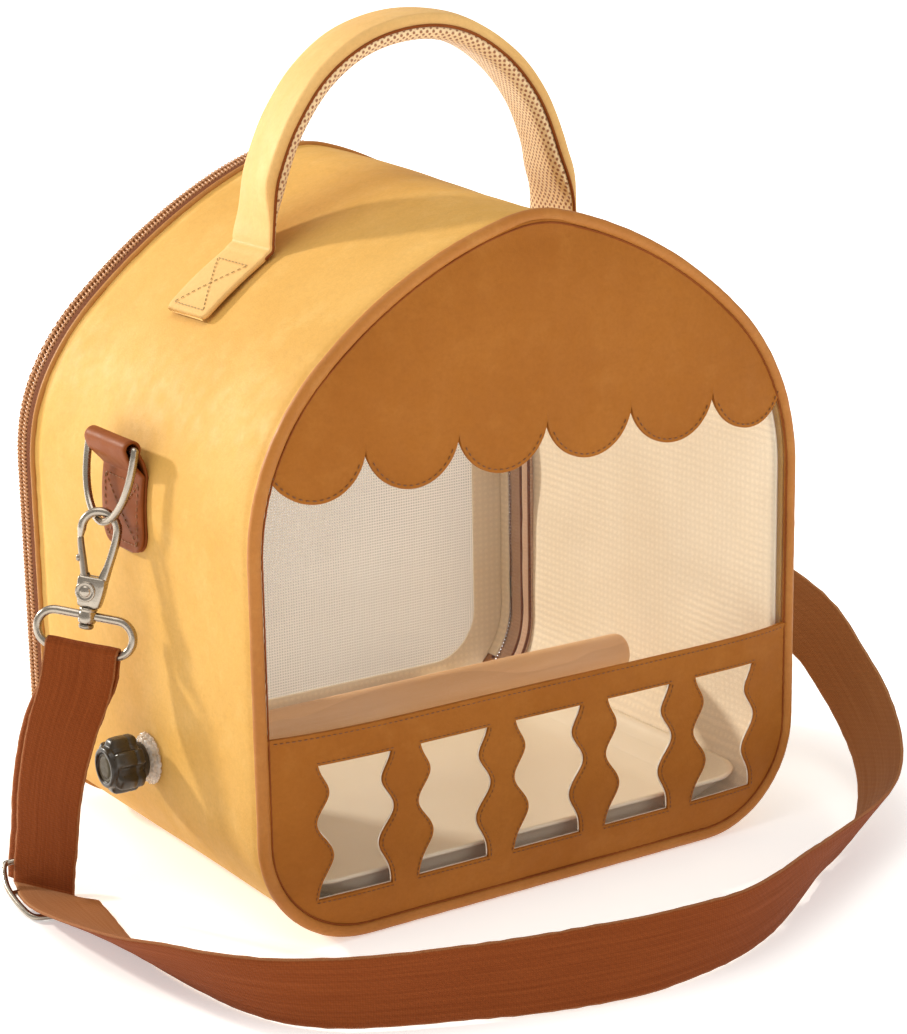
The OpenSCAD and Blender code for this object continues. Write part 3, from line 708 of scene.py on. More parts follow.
def stitches_into(b, path, normal, pitch=3.0, length=2.15, r=0.34, lift=0.12, closed=False):
    """Short raised threads along a path; normal is one vector or one per point."""
    p = np.asarray(path, float)
    if closed:
        p = np.vstack([p, p[:1]])
    nv = np.broadcast_to(np.asarray(normal, float), (len(path), 3))
    if closed:
        nv = np.vstack([nv, nv[:1]])
    d = np.r_[0, np.cumsum(np.linalg.norm(np.diff(p, axis=0), axis=1))]
    count = max(1, int(d[-1] // pitch))
    step = d[-1] / count
    prof = [(-0.5, 0.12, -0.30), (-0.36, 0.75, 0.0), (-0.12, 1.0, 0.16), (0.12, 1.0, 0.16), (0.36, 0.75, 0.0), (0.5, 0.12, -0.30)]
    ang = np.linspace(0, 2 * math.pi, 6, endpoint=False)
    for i in range(count):
        s0 = (i + 0.5) * step
        a = np.array([np.interp(s0 - length / 2, d, p[:, k]) for k in range(3)])
        c = np.array([np.interp(s0 + length / 2, d, p[:, k]) for k in range(3)])
        n = unit(np.array([np.interp(s0, d, nv[:, k]) for k in range(3)]))
        t = unit(c - a)
        n = unit(n - (n @ t) * t)
        side = np.cross(t, n)
        mid = (a + c) / 2
        L = np.linalg.norm(c - a)
        V = []
        for u, rr, h in prof:
            o = mid + t * u * L + n * (lift + h * r)
            V.append(o + (np.cos(ang)[:, None] * side + np.sin(ang)[:, None] * n * 0.8) * r * rr)
        V = np.array(V)
        f = grid_faces(6, 6, False, True)
        f.append(list(range(6))[::-1])
        f.append([30 + k for k in range(6)])
        b.add(V.reshape(-1, 3), f)


# ------------------------------------------------------------------ bag: shell, lining, edges
def loop_above(zmin, n, closed=False):
    """Open outline path from the left low end over the top to the right low end."""
    k = _P[:, 1] > zmin
    P, N = _P[k], _N[k]
    # the raw outline starts at the bottom's middle, goes up the left side and comes down the right one
    Q = resample(np.hstack([P, N]), n)
    return Q[:, :2], unit(Q[:, 2:])


def band_loft(b, P, N, closed, ys, outer, inner, disp=None, end_round=0.3):
    """A thick band along an outline; outer and inner are offsets as functions of y."""
    ys = np.asarray(ys, float)
    rows = [(y, outer(y), 1) for y in ys] + [(y, inner(y), 0) for y in ys[::-1]]
    V = np.zeros((len(P), len(rows), 3))
    out = np.zeros((len(P), len(rows)))
    for j, (y, o, side) in enumerate(rows):
        V[:, j, 0] = P[:, 0] + o * N[:, 0]
        V[:, j, 1] = y
        V[:, j, 2] = P[:, 1] + o * N[:, 1]
        out[:, j] = side
    if disp is not None:
        d = disp(V)
        V[..., 0] += d * N[:, None, 0]
        V[..., 2] += d * N[:, None, 1]
    V = warp(V)
    s = np.r_[0, np.cumsum(np.linalg.norm(np.diff(P, axis=0), axis=1))] * MM
    uv = np.zeros(V.shape[:2] + (2,))
    uv[..., 0] = s[:, None]
    uv[..., 1] = np.array([r[0] for r in rows])[None] * MM
    f = grid_faces(len(P), len(rows), closed, True)
    if not closed:
        f.append(list(range(len(rows)))[::-1])
        f.append([(len(P) - 1) * len(rows) + k for k in range(len(rows))])
    b.add(V.reshape(-1, 3), f, uv.reshape(-1, 2))
    return V


def shell_disp(V):
    d = 0.75 * noise3(V, 62) + 0.28 * noise3(V, 19)
    e = np.minimum(V[..., 1] + 101.5, 84 - V[..., 1])
    d = d * smooth01(e / 16) + np.where(V[..., 1] > 0, 0.2, 0.22) * np.exp(-e / 3.0) * noise3(V, 4.5) - 0.7 * np.exp(-((e - 3.4) / 1.6) ** 2)
    low = smooth01((V[..., 2] - 4) / 22)
    tab = 1 - smooth01((np.abs(V[..., 0]) - 112) / 8) * np.exp(-((V[..., 1] + 2) / 22) ** 4) * np.exp(-((V[..., 2] - 160) / 30) ** 4)
    return d * (0.12 + 0.88 * low) * (0.15 + 0.85 * tab)


P, N = outline(460)
b = Build()
ys = np.r_[-101.5, -100.6, -99.6, -98.6, -97.6, -96.4, np.linspace(-94, 77, 58), 78.8, 80.2, 81.4, 82.4, 83.2, 84.0]
Vs = band_loft(b, P, N, True, ys, lambda y: 0.0, lambda y: -1.5, shell_disp)
put(b.make("bag_shell", M["yellow"]), "carrier", ("outer_shell", "shell_foam"))


def side_surface(z, y, left=True, lift=0.0):
    """A point on the bag's side or roof at height z."""
    k = len(_P) // 2 + 1
    Q = _P[:k]
    i0 = int(np.argmax(Q[:, 1] > 2.7))
    x = float(np.interp(z, Q[i0 - 1:, 1], Q[i0 - 1:, 0]))
    nn = np.array([np.interp(z, Q[i0 - 1:, 1], _N[:k][i0 - 1:, c]) for c in (0, 1)])
    nn = nn / np.linalg.norm(nn)
    p = np.array([x, y, z]) + lift * np.array([nn[0], 0, nn[1]])
    nv = np.array([nn[0], 0, nn[1]])
    if not left:
        p[0] *= -1
        nv[0] *= -1
    return warp(p), nv


def edge_stitches(y, name, o=0.0, thread="thread_tan", pitch=3.4, zmin=None):
    """Stitches along the bag's outline at depth y."""
    b = Build()
    if zmin is None:
        Pq, Nq = outline(900)
    else:
        Pq, Nq = loop_above(zmin, 800)
    V = np.stack([Pq[:, 0] + o * Nq[:, 0], np.full(len(Pq), y), Pq[:, 1] + o * Nq[:, 1]], -1)
    d = shell_disp(V)
    V[:, 0] += d * Nq[:, 0]
    V[:, 2] += d * Nq[:, 1]
    V = warp(V)
    nv = np.stack([Nq[:, 0], np.zeros(len(Nq)), Nq[:, 1]], -1)
    stitches_into(b, V, nv, pitch=pitch, length=pitch * 0.68, r=0.3, lift=0.08, closed=zmin is None)
    put(b.make(name, M[thread]), "carrier")



# cream lining with soft creases
b = Build()


def lining_disp(V):
    e = np.minimum(V[..., 1] + 101.5, 83.6 - V[..., 1])
    return (1.3 * noise3(V, 46) + 0.6 * noise3(V * np.array([1, 0.45, 1]), 17)) * smooth01(e / 12) * smooth01((V[..., 2] - 12) / 30) - 0.0


P2, N2 = outline(300)
band_loft(b, P2, N2, True, np.linspace(-101.4, 83.6, 50), lambda y: -3.9, lambda y: -5.0, lining_disp)
put(b.make("cream_lining_cloth", M["lining"]), "carrier", ("lining",))

# rear edge: binding inside, piping outside
b = Build()
band_loft(b, P2, N2, True, np.linspace(75.6, 83.7, 7), lambda y: -5.0 + 0.3 * math.sin((y - 75.6) / 8.1 * 3.14), lambda y: -6.7 - 0.4 * math.sin((y - 75.6) / 8.1 * 3.14),
          lambda V: 0.25 * noise3(V, 9))
put(b.make("rear_inner_binding", M["binding"]), "carrier", ("rear_binding",))
b = Build()
for y in (76.4, 82.8):
    tube_into(b, warp(np.stack([P2[:, 0] - 6.75 * N2[:, 0], np.full(len(P2), y), P2[:, 1] - 6.75 * N2[:, 1]], -1)), 0.85, 10, True, up=(0, 1, 0))
put(b.make("rear_binding_edges", M["tape"]), "carrier")
b = Build()
Pi, Ni = loop_above(19, 300)
band_loft(b, Pi, Ni, False, np.linspace(83.9, 96.3, 8), lambda y: -2.6, lambda y: -3.6 - 0.5 * math.sin((y - 83.9) / 12.4 * 3.14), lambda V: 0.2 * noise3(V, 9))
put(b.make("rear_binding_flap", M["binding"]), "carrier")


def piping(name, y, r, mat, node, pinch=0.12, closed=True, zmin=None, o=0.0):
    Pq, Nq = outline(640) if closed else loop_above(zmin, 560)
    path = warp(np.stack([Pq[:, 0] + o * Nq[:, 0], np.full(len(Pq), y), Pq[:, 1] + o * Nq[:, 1]], -1))
    rr = r * (1 + pinch * 0.35 * noise3(path, 7) + pinch * 0.25 * noise3(path, 2.6))
    rr = np.minimum(rr, r * 1.02)
    b = Build()
    tube_into(b, path, rr, 18, closed, up=(0, 1, 0))
    return put(b.make(name, mat), "carrier", node)


piping("front_edge_piping", FRONT_Y, 2.6, M["piping"], ("front_piping",))
piping("rear_edge_piping", 85.4, 1.5, M["rear_edge"], ("rear_piping",))

# ------------------------------------------------------------------ front: film, awning, balustrade
PITCH, DROP, SCZ = 41.0, 17.5, 195.0
SCR = (PITCH ** 2 / 4 + DROP ** 2) / (2 * DROP)
RAIL, OB, OT, OH, OP = 88.6, 20.0, 75.6, 16.5, 45.0
HWZ = np.linspace(4.15, 262, 1400)


def hw_table(o):
    k = len(_P) // 2 + 1
    Q = (_P + o * _N)[:k]
    i0 = int(np.argmax(np.diff(Q[:, 1]) > 1e-6))
    return Q[i0:, 1], -Q[i0:, 0]


_hz, _hx = hw_table(-1.5)


def hw(z):
    return np.interp(z, _hz, _hx)


def top_z(x):
    """Height of the panel's upper edge at x."""
    ax = np.abs(x)
    k = _hz > ST
    return np.interp(-ax, -_hx[k], _hz[k])


def scallop_z(x):
    xc = (np.floor(np.asarray(x) / PITCH) + 0.5) * PITCH
    return SCZ - DROP + SCR - np.sqrt(np.maximum(SCR ** 2 - (x - xc) ** 2, 0))


# a table of the bulge, because it is asked for often
_gx = np.linspace(-128, 128, 129)
_gz = np.linspace(2, 266, 133)
_GX, _GZ = np.meshgrid(_gx, _gz, indexing="ij")
_GB = bulge(_GX, _GZ)


def bulge_at(x, z):
    x = np.clip((np.asarray(x, float) + 128) / 2, 0, 127.999)
    z = np.clip((np.asarray(z, float) - 2) / 2, 0, 131.999)
    i, j = np.floor(x).astype(int), np.floor(z).astype(int)
    u, v = x - i, z - j
    return _GB[i, j] * (1 - u) * (1 - v) + _GB[i + 1, j] * u * (1 - v) + _GB[i, j + 1] * (1 - u) * v + _GB[i + 1, j + 1] * u * v


def front_y(x, z, lift=0.0):
    """Depth of the front panels' outer face."""
    return FRONT_Y - 0.8 - bulge_at(x, z) - lift


def front_pt(x, z, lift=0.0):
    x, z = np.asarray(x, float), np.asarray(z, float)
    return np.stack([x, front_y(x, z, lift), z], -1)


def thicken(ob, t, bevel=0.3, offset=-1.0):
    m = ob.modifiers.new("thickness", "SOLIDIFY")
    m.thickness = t * MM
    m.offset = offset
    m.use_even_offset = False
    if bevel:
        v = ob.modifiers.new("edges", "BEVEL")
        v.width = bevel * MM
        v.segments = 3
        v.limit_method = "ANGLE"
        v.angle_limit = math.radians(50)
        v.harden_normals = False
    return ob


# clear film
rows = np.r_[np.linspace(4.2, 250, 96), np.linspace(251, _hz.max() - 0.35, 16)]
cols = np.linspace(-1, 1, 90)
X = hw(rows)[:, None] * cols[None]
Z = np.repeat(rows[:, None], len(cols), 1)
Y = FRONT_Y + 1.1 - bulge_at(X, Z) + 0.35 * noise3(np.stack([X, Z * 0, Z], -1), 34)
b = Build()
b.add(np.stack([X, Y, Z], -1), grid_faces(len(rows), len(cols), flip=False), np.stack([X, Z], -1) * MM)
film = b.make("front_film", M["film"])
thicken(film, 0.45, 0)
film.visible_shadow = False
put(film, "carrier", ("front_window",))

# scalloped awning
step = PITCH / 64
xs = np.arange(-187, 188) * step
xs = xs[(scallop_z(xs) < top_z(xs) - 0.6)]
vz = np.r_[0, 0.004, 0.012, 0.03, np.linspace(0.06, 1, 40)]
zs, zt = scallop_z(xs), top_z(xs)
Z = zs[:, None] + (zt - zs)[:, None] * vz[None]
X = np.repeat(xs[:, None], len(vz), 1)
edge = np.exp(-((Z - zs[:, None]) / 2.2) ** 2)
Y = front_y(X, Z) - 0.35 * edge + 0.18 * noise3(np.stack([X, Z * 0, Z], -1), 16)
b = Build()
b.add(np.stack([X, Y, Z], -1), grid_faces(len(xs), len(vz), flip=False), np.stack([X, Z], -1) * MM)
aw = b.make("scalloped_awning", M["caramel"])
thicken(aw, 1.6, 0.4)
put(aw, "carrier", ("awning_panel",))


def opening_x(t):
    return OH - 4.8 * np.exp(-((t - 0.8) / 0.13) ** 2) + 1.5 * np.exp(-((t - 0.57) / 0.1) ** 2) - 6.2 * np.exp(-((t - 0.33) / 0.16) ** 2)


def bounds_at(z):
    """The twelve limits of balusters and openings at height z."""
    t = np.clip((z - OB) / (OT - OB), 0, 1)
    o = float(opening_x(t))
    inner = np.array([i * OP + s * o for i in (-2, -1, 0, 1, 2) for s in (-1, 1)])
    k = 1.0 if z >= OB else float(hw(z) / hw(OB))
    h = float(hw(z))
    return np.r_[-h, inner * k, h]


zr = np.r_[np.linspace(4.2, OB, 14)[:-1], np.linspace(OB, OT, 64), np.linspace(OT, RAIL, 11)[1:]]
seg_n = [14 if i % 2 == 0 else 18 for i in range(11)]
V, idx = [], []
for z in zr:
    bb = bounds_at(z)
    row = []
    for i in range(11):
        row.extend(np.linspace(bb[i], bb[i + 1], seg_n[i] + 1)[:-1])
    row.append(bb[11])
    V.append(np.stack([row, np.full(len(row), z)], -1))
V = np.array(V)
X, Z = V[..., 0], V[..., 1]
near = np.zeros_like(X)
Y = front_y(X, Z) - 0.3 * np.exp(-((RAIL - Z) / 2.4) ** 2) + 0.2 * noise3(np.stack([X, Z * 0, Z], -1), 15)
nc = X.shape[1]
starts = np.r_[0, np.cumsum(seg_n)]
f = []
for r in range(len(zr) - 1):
    hole_row = zr[r] >= OB - 1e-6 and zr[r + 1] <= OT + 1e-6
    for s in range(11):
        if s % 2 == 1 and hole_row:
            continue
        for c in range(starts[s], starts[s + 1]):
            f.append([r * nc + c, r * nc + c + 1, (r + 1) * nc + c + 1, (r + 1) * nc + c])
b = Build()
b.add(np.stack([X, Y, Z], -1), f, np.stack([X, Z], -1) * MM)
ba = b.make("balustrade", M["caramel"])
thicken(ba, 1.6, 0.4)
put(ba, "carrier", ("balustrade_panel",))

# stitching on the front
b = Build()
for i in range(-3, 3):
    xc = (i + 0.5) * PITCH
    a = np.linspace(-0.5 * PITCH + 1.4, 0.5 * PITCH - 1.4, 60)
    zc = SCZ - DROP + SCR
    r = SCR - 1.35
    aa = np.arcsin(np.clip(a / SCR, -1, 1))
    x, z = xc + r * np.sin(aa), zc - r * np.cos(aa)
    stitches_into(b, front_pt(x, z, 0.22), (0, -1, 0), pitch=2.7, length=1.8, r=0.24)
x = np.linspace(-hw(RAIL - 1.6) + 2.6, hw(RAIL - 1.6) - 2.6, 300)
stitches_into(b, front_pt(x, np.full(300, RAIL - 1.6), 0.2), (0, -1, 0), pitch=2.4, length=1.7, r=0.22)
t = np.linspace(0, 1, 80)
for i in (-2, -1, 0, 1, 2):
    for s in (-1, 1):
        xe = i * OP + s * opening_x(t)
        ze = OB + t * (OT - OB)
        d = unit(np.stack([np.gradient(xe), np.gradient(ze)], -1))
        nx, nz = s * d[:, 1], -s * d[:, 0]
        stitches_into(b, front_pt(xe + 1.0 * nx, ze + 1.0 * nz, 0.05), (0, -1, 0), pitch=2.1, length=1.6, r=0.19)
    for z, o in ((OB - 1.0, 0.0), (OT + 1.0, 1.0)):
        w = float(opening_x(o)) + 0.9
        xe = np.linspace(i * OP - w, i * OP + w, 30)
        stitches_into(b, front_pt(xe, np.full(30, z), 0.05), (0, -1, 0), pitch=2.1, length=1.6, r=0.19)
put(b.make("front_stitching", M["thread"]), "carrier")
# pale cut edge of the clear film in each opening, coloured as a painted highlight, and the sunk seams beside the front
# piping drawn as painted shade
b = Build()
for i in (-2, -1, 0, 1, 2):
    o = opening_x(t)
    xe = np.r_[i * OP + o - 0.25, (i * OP - o + 0.25)[::-1]]
    ze = np.r_[OB + t * (OT - OB), (OB + t * (OT - OB))[::-1]]
    ze = np.clip(ze, OB + 0.25, OT - 0.25)
    tube_into(b, front_pt(xe, ze, -1.45), 0.3, 8, True, up=(0, 1, 0))
put(b.make("opening_film_edge_painted_highlights", M["film_edge"]), "carrier")
# painted shade: thin dark brown lines laid in the creases beside the front piping
b = Build()
Ps, Ns = outline(620)
tube_into(b, warp(np.stack([Ps[:, 0] + 0.12 * Ns[:, 0], np.full(len(Ps), -101.72), Ps[:, 1] + 0.12 * Ns[:, 1]], -1)), 0.36, 8, True, up=(0, 1, 0))
q = Ps - 2.75 * Ns
tube_into(b, np.stack([q[:, 0], front_y(q[:, 0], q[:, 1], 0.05), q[:, 1]], -1), 0.38, 8, True, up=(0, 1, 0))
put(b.make("front_piping_painted_shade_lines", M["tab"]), "carrier")

# ------------------------------------------------------------------ zip and rear door
ZIP_Z = 18.2
Pz, Nz = loop_above(ZIP_Z, 420)


def tape(name, y0, y1, o0, o1, body, node, mat="tape", P_=None, N_=None, wob=0.12):
    b = Build()
    band_loft(b, Pz if P_ is None else P_, Nz if N_ is None else N_, False, np.linspace(y0, y1, 7), lambda y: o0, lambda y: o1, lambda V: wob * noise3(V, 11))
    return put(b.make(name, M[mat]), body, node)


tape("zip_tape_on_bag", 86.3, 92.9, -0.1, -1.3, "carrier", ("zip_tape_body",))
tape("zip_tape_on_door", 101.2, 104.4, -1.9, -2.9, "back_door", ("zip_tape_door",))


def coil(name, y0, y1, o0, o1, body, node, phase):
    """The zip's moulded spiral: one round wire wound along the outline."""
    n = 5200
    Pq, Nq = loop_above(ZIP_Z, n)
    s = np.r_[0, np.cumsum(np.linalg.norm(np.diff(Pq, axis=0), axis=1))]
    a = 2 * np.pi * s / 1.75 + phase
    o = (o0 + o1) / 2 + (o0 - o1 - 1.0) / 2 * np.cos(a)
    y = (y0 + y1) / 2 + (y1 - y0 - 1.0) / 2 * np.sin(a)
    path = warp(np.stack([Pq[:, 0] + o * Nq[:, 0], y, Pq[:, 1] + o * Nq[:, 1]], -1))
    b = Build()
    tube_into(b, path, 0.5, 6, False)
    # the cord that runs inside the spiral
    Pq, Nq = loop_above(ZIP_Z, 400)
    o = (o0 + o1) / 2
    path = warp(np.stack([Pq[:, 0] + o * Nq[:, 0], np.full(400, (y0 + y1) / 2), Pq[:, 1] + o * Nq[:, 1]], -1))
    tube_into(b, path, 0.75, 8, False)
    return put(b.make(name, M["coil"]), body, node)


coil("zip_spiral_on_bag", 92.6, 97.0, 0.8, -1.8, "carrier", ("zip_coil_body",), 0.0)
coil("zip_spiral_on_door", 97.4, 101.8, 0.8, -1.8, "back_door", ("zip_coil_door",), 2.2)

Pd, Nd = loop_above(15.4, 360)
b = Build()
band_loft(b, Pd, Nd, False, [101.9, 102.3, 103.0, 103.6, 104.6, 105.15, 105.35], lambda y: -0.35 - 0.66 * (y - 101.9), lambda y: -3.3, lambda V: 0.15 * noise3(V, 12))
put(b.make("door_rim_cloth", M["rear_edge"]), "back_door", ("door_rim",))

b = Build()
# the frame of the door: outer edge rounded, inner edge folded over the mesh
fr = [(-2.7, 105.4), (-2.8, 106.1), (-3.2, 106.8), (-4.0, 107.0), (-8, 107.1), (-13, 107.1), (-18, 107.0), (-19.6, 106.6), (-20.2, 105.9), (-19.6, 105.35), (-13, 105.2), (-8, 105.2), (-3.4, 105.2)]
Pf, Nf = outline(420)
V = np.zeros((len(Pf), len(fr), 3))
for j, (o, y) in enumerate(fr):
    V[:, j] = np.stack([Pf[:, 0] + o * Nf[:, 0], np.full(len(Pf), y), np.maximum(Pf[:, 1] + o * Nf[:, 1], 15.4 + 0.02 * j)], -1)
V[:, 3:7, 1] += 0.25 * noise3(V[:, 3:7], 18)
V = warp(V)
b.add(V.reshape(-1, 3), grid_faces(len(Pf), len(fr), True, True))
put(b.make("door_frame_cloth", M["yellow"]), "back_door", ("door_frame",))

b = Build()
band_loft(b, Pi, Ni, False, np.linspace(97.7, 104.6, 6), lambda y: -3.6, lambda y: -4.3, lambda V: 0.15 * noise3(V, 9))
fc = [(-3.7, 104.75), (-3.9, 104.5), (-5, 104.45), (-12, 104.4), (-19.6, 104.45), (-20.3, 104.75), (-19.6, 105.1), (-12, 105.15), (-5, 105.15)]
V = np.zeros((len(Pf), len(fc), 3))
for j, (o, y) in enumerate(fc):
    V[:, j] = np.stack([Pf[:, 0] + o * Nf[:, 0], np.full(len(Pf), y), np.maximum(Pf[:, 1] + o * Nf[:, 1], 15.6 + 0.02 * j)], -1)
V = warp(V)
b.add(V.reshape(-1, 3), grid_faces(len(Pf), len(fc), True, True))
put(b.make("door_inner_facing", M["lining"]), "back_door")

b = Build()
for o in (-3.0, -17.4):
    Q = Pd + o * Nd
    k = Q[:, 1] > 17.5
    p = warp(np.stack([Q[k, 0], np.full(k.sum(), 107.1), Q[k, 1]], -1))
    stitches_into(b, p, (0, 1, 0), pitch=3.2, length=2.2, r=0.3)
put(b.make("door_stitching", M["thread_tan"]), "back_door")

# the door's white mesh
rows = np.linspace(15.6, 246, 70)
_mz, _mx = hw_table(-15.5)
mt = _mz.max()
rows = np.r_[np.linspace(15.6, mt - 0.4, 76)]
mxv = np.interp(rows, _mz, _mx)
X = mxv[:, None] * np.linspace(-1, 1, 60)[None]
Z = np.repeat(rows[:, None], 60, 1)
Y = 104.75 + 0.5 * noise3(np.stack([X, Z * 0, Z], -1), 48)
b = Build()
b.add(warp(np.stack([X, Y, Z], -1)), grid_faces(len(rows), 60, flip=True), np.stack([X, Z], -1) * MM)
dm = b.make("door_mesh_cloth", M["mesh"])
dm.visible_shadow = False
# the outer face takes the mesh material with painted shade
dm.data.materials.append(M["mesh_outer"])
thicken(dm, 0.5, 0).modifiers["thickness"].material_offset = 1
put(dm, "back_door", ("door_mesh",))

# cloth hinge of the door
b = Build()
xs = np.linspace(-76, 76, 60)
prof = [(94.9, 14.7), (97, 14.75), (100, 14.7), (103, 14.75), (106.6, 14.7), (106.75, 14.25), (106.6, 13.8), (103, 13.85), (100, 13.8), (97, 13.75), (94.9, 13.8)]
V = np.array([[(x, y, z + 0.08 * math.sin(x / 5)) for y, z in prof] for x in xs])
f = grid_faces(len(xs), len(prof), False, True)
f.append(list(range(len(prof)))[::-1])
f.append([(len(xs) - 1) * len(prof) + k for k in range(len(prof))])
b.add(V.reshape(-1, 3), f)
hs = b.make("door_cloth_hinge", M["rear_edge"])
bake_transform(hs)
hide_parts("hinge_strip")

# ------------------------------------------------------------------ tray


def rrect(x0, x1, y0, y1, r, n=16):
    pts = []
    for cx, cy, a0 in ((x1 - r, y1 - r, 0), (x0 + r, y1 - r, 90), (x0 + r, y0 + r, 180), (x1 - r, y0 + r, 270)):
        for a in np.radians(a0 + np.linspace(0, 90, n)):
            pts.append((cx + r * math.cos(a), cy + r * math.sin(a)))
    return np.array(pts)


def rect_rows(rows, n=16):
    """rows: x half, y0, y1, r, z"""
    return np.array([np.column_stack([rrect(-h, h, y0, y1, r, n), np.full(4 * n, z)]) for h, y0, y1, r, z in rows])


tr = [(0.05, -14.55, -14.45, 0.02, 10.3), (60, -72, 42, 10, 10.3), (88.5, -93.5, 64.5, 14.5, 10.25), (90.2, -95.2, 66.2, 16, 10.9), (91.4, -95.6, 67, 16.4, 12.4), (101, -98, 70.6, 17.8, 18),
      (108.6, -99.6, 73.3, 18.8, 21.6), (110.9, -100.2, 74.2, 19.4, 22.3), (112.4, -100.9, 74.9, 20, 22.5), (113, -101.1, 75.1, 20.2, 23.2), (112.5, -100.8, 74.8, 20, 23.9),
      (111.2, -99.8, 73.8, 19.2, 24.1), (109.7, -98.8, 72.8, 18.6, 23.7), (108.8, -98.2, 72.2, 18.2, 22.6), (106, -97.4, 71, 17.8, 20.6), (99, -95.8, 68.6, 17, 16.4),
      (91.5, -94, 65.6, 16, 13.2), (88.4, -92.6, 63.6, 15.2, 12.2), (85, -89.6, 60.6, 13.6, 11.95), (70, -78, 48, 11, 11.9), (40, -52, 22, 8, 11.9), (0.05, -14.55, -14.45, 0.02, 11.9)]
V = rect_rows(tr)
b = Build()
f = grid_faces(len(tr), V.shape[1], False, True, flip=True)
f.append(list(range(V.shape[1])))
f.append([(len(tr) - 1) * V.shape[1] + k for k in range(V.shape[1])][::-1])
b.add(V.reshape(-1, 3), f)
put(b.make("moulded_tray", M["tray"]), "tray", ("tray",))

# ------------------------------------------------------------------ perch
PY, PZ = -12.0, 55.0
b = Build()
xx = np.linspace(-120.9, 106, 80)
prof = [(-121.0, 6.9), (-120.9, 7.6)] + [(x, 8.2 + 0.0 * x) for x in xx[1:]] + [(107.6, 8.0), (108.9, 7.4), (109.6, 6.4), (110, 4.6), (110.1, 0.3)]
revolve_into(b, prof, (0, PY, PZ), (1, 0, 0), (0, 0, 1), 48)
vv = np.array(b.v)
c = vv[:, 1:] - np.array([PY, PZ])
k = 1 + 0.012 * noise3(np.column_stack([vv[:, 0] * 0.3, c]), 9)
vv[:, 1:] = np.array([PY, PZ]) + c * k[:, None]
b.v = vv.tolist()
put(b.make("perch_rod", M["wood"]), "carrier", ("perch_dowel",))

KX = -131.8
b = Build()
prof = [(0.05, 5.0), (0.05, 6.9), (0.4, 7.5), (1.2, 7.7), (2.6, 7.7), (3.1, 8.4), (3.3, 10.2), (3.8, 11.2), (4.8, 11.65), (7, 11.7), (7.35, 11.3), (7.7, 11.7), (10.4, 11.7), (13.4, 11.5), (14.3, 11.0), (14.9, 10.1), (15.1, 9.0),
        (15.4, 8.6), (16.6, 8.4), (17.2, 8.1), (17.4, 7.5), (17.4, 6.6), (17.1, 6.3), (16.5, 6.2), (16.4, 3.0), (16.4, 0.3)]
revolve_into(b, prof, (KX, PY, PZ), (-1, 0, 0), (0, 0, 1), 96)
vv = np.array(b.v)
c = vv[:, 1:] - np.array([PY, PZ])
rad = np.linalg.norm(c, axis=1)
ang = np.degrees(np.arctan2(c[:, 1], c[:, 0]))
lob = np.zeros(len(vv))
for q in range(6):
    dlt = (ang - (q * 60 + 0) + 180) % 360 - 180
    lob = np.maximum(lob, np.exp(-(dlt / 13.5) ** 6))
w = smooth01((rad - 8.7) / 1.8)
c = c * (1 - 0.21 * lob * w)[:, None]
vv[:, 1:] = np.array([PY, PZ]) + c
b.v = vv.tolist()
put(b.make("knob_barrel", M["knob"]), "perch_knob", ("perch_knob",))
b = Build()
revolve_into(b, [(16.45, 6.1), (16.7, 6.0), (16.8, 5.2), (16.6, 5.0), (16.6, 4.6), (16.85, 4.4), (16.95, 3.0), (17.0, 1.2), (17.0, 0.2)], (KX, PY, PZ), (-1, 0, 0), (0, 0, 1), 48)
put(b.make("knob_front_disc", M["knob_face"]), "perch_knob")


def bevel_node(name, mat, width=0.3, seg=2):
    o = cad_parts[name]
    o.data.materials.clear()
    o.data.materials.append(mat)
    for s in o.material_slots:
        s.material = mat
    v = o.modifiers.new("edges", "BEVEL")
    v.width = width * MM
    v.segments = seg
    v.limit_method = "ANGLE"
    v.angle_limit = math.radians(40)
    return o


for nm, mt_, wd in (("perch_stud", "steel", 0.3), ("perch_inner_plate", "steel", 0.3), ("perch_eyelet", "metal_dark", 0.2), ("zip_slider", "metal", 0.35),
                    ("zip_pull", "metal", 0.3), ("base_board", "board", 0.4), ("base_panel", "base", 0.6), ("rear_sill", "yellow", 0.3)):
    bevel_node(nm, M[mt_], wd)

b = Build()
prof = [(0.2, 4.0), (0.2, 10.2), (0.5, 10.8), (1.3, 10.9), (1.65, 10.4), (1.7, 9.6), (2.0, 9.4), (3.0, 9.4), (3.35, 9.0), (3.4, 4.0), (3.3, 3.4), (0.3, 3.4)]
revolve_into(b, prof, (-128.1, PY, PZ), (-1, 0, 0), (0, 0, 1), 168)
vv = np.array(b.v)
c = vv[:, 1:] - np.array([PY, PZ])
rad = np.linalg.norm(c, axis=1)
ang = np.arctan2(c[:, 1], c[:, 0])
c = c * (1 - 0.055 * (rad > 9.2) * (0.5 + 0.5 * np.cos(ang * 21)) ** 2)[:, None]
vv[:, 1:] = np.array([PY, PZ]) + c
b.v = vv.tolist()
put(b.make("clear_beaded_washer", M["clear"]), "carrier", ("perch_outer_washer",))

# ------------------------------------------------------------------ carrying handle
HROUTE = np.array([[-63, 246], [-62.5, 256.2], [-60, 268], [-55, 285], [-46, 304], [-31, 322.5], [-10, 335], [14, 339.5], [36, 336], [56, 324], [71, 307], [80, 288], [85, 270], [86.5, 255], [85.5, 241.8], [84.5, 232]], float)
HY, HWD = 5.7, 32.0
arch = catmull(HROUTE, 12)
arch = arch[12:-12]
# foot on the left roof, outwards from the arch
lx = np.linspace(-93.5, -66, 26)


def roof_z(x):
    return float(top_z_o0(abs(x)))


_tz, _tx = hw_table(0.0)


def top_z_o0(x):
    k = _tz > 100
    return np.interp(-np.abs(x), -_tx[k], _tz[k])


def roof_pt(x, lift):
    """A point above the roof at x, moved out along the roof's normal, in the front view."""
    z = float(top_z_o0(x))
    i = int(np.argmin(np.hypot(_P[:, 0] - x, _P[:, 1] - z)))
    n = _N[i]
    return np.array([x, z]) + lift * n


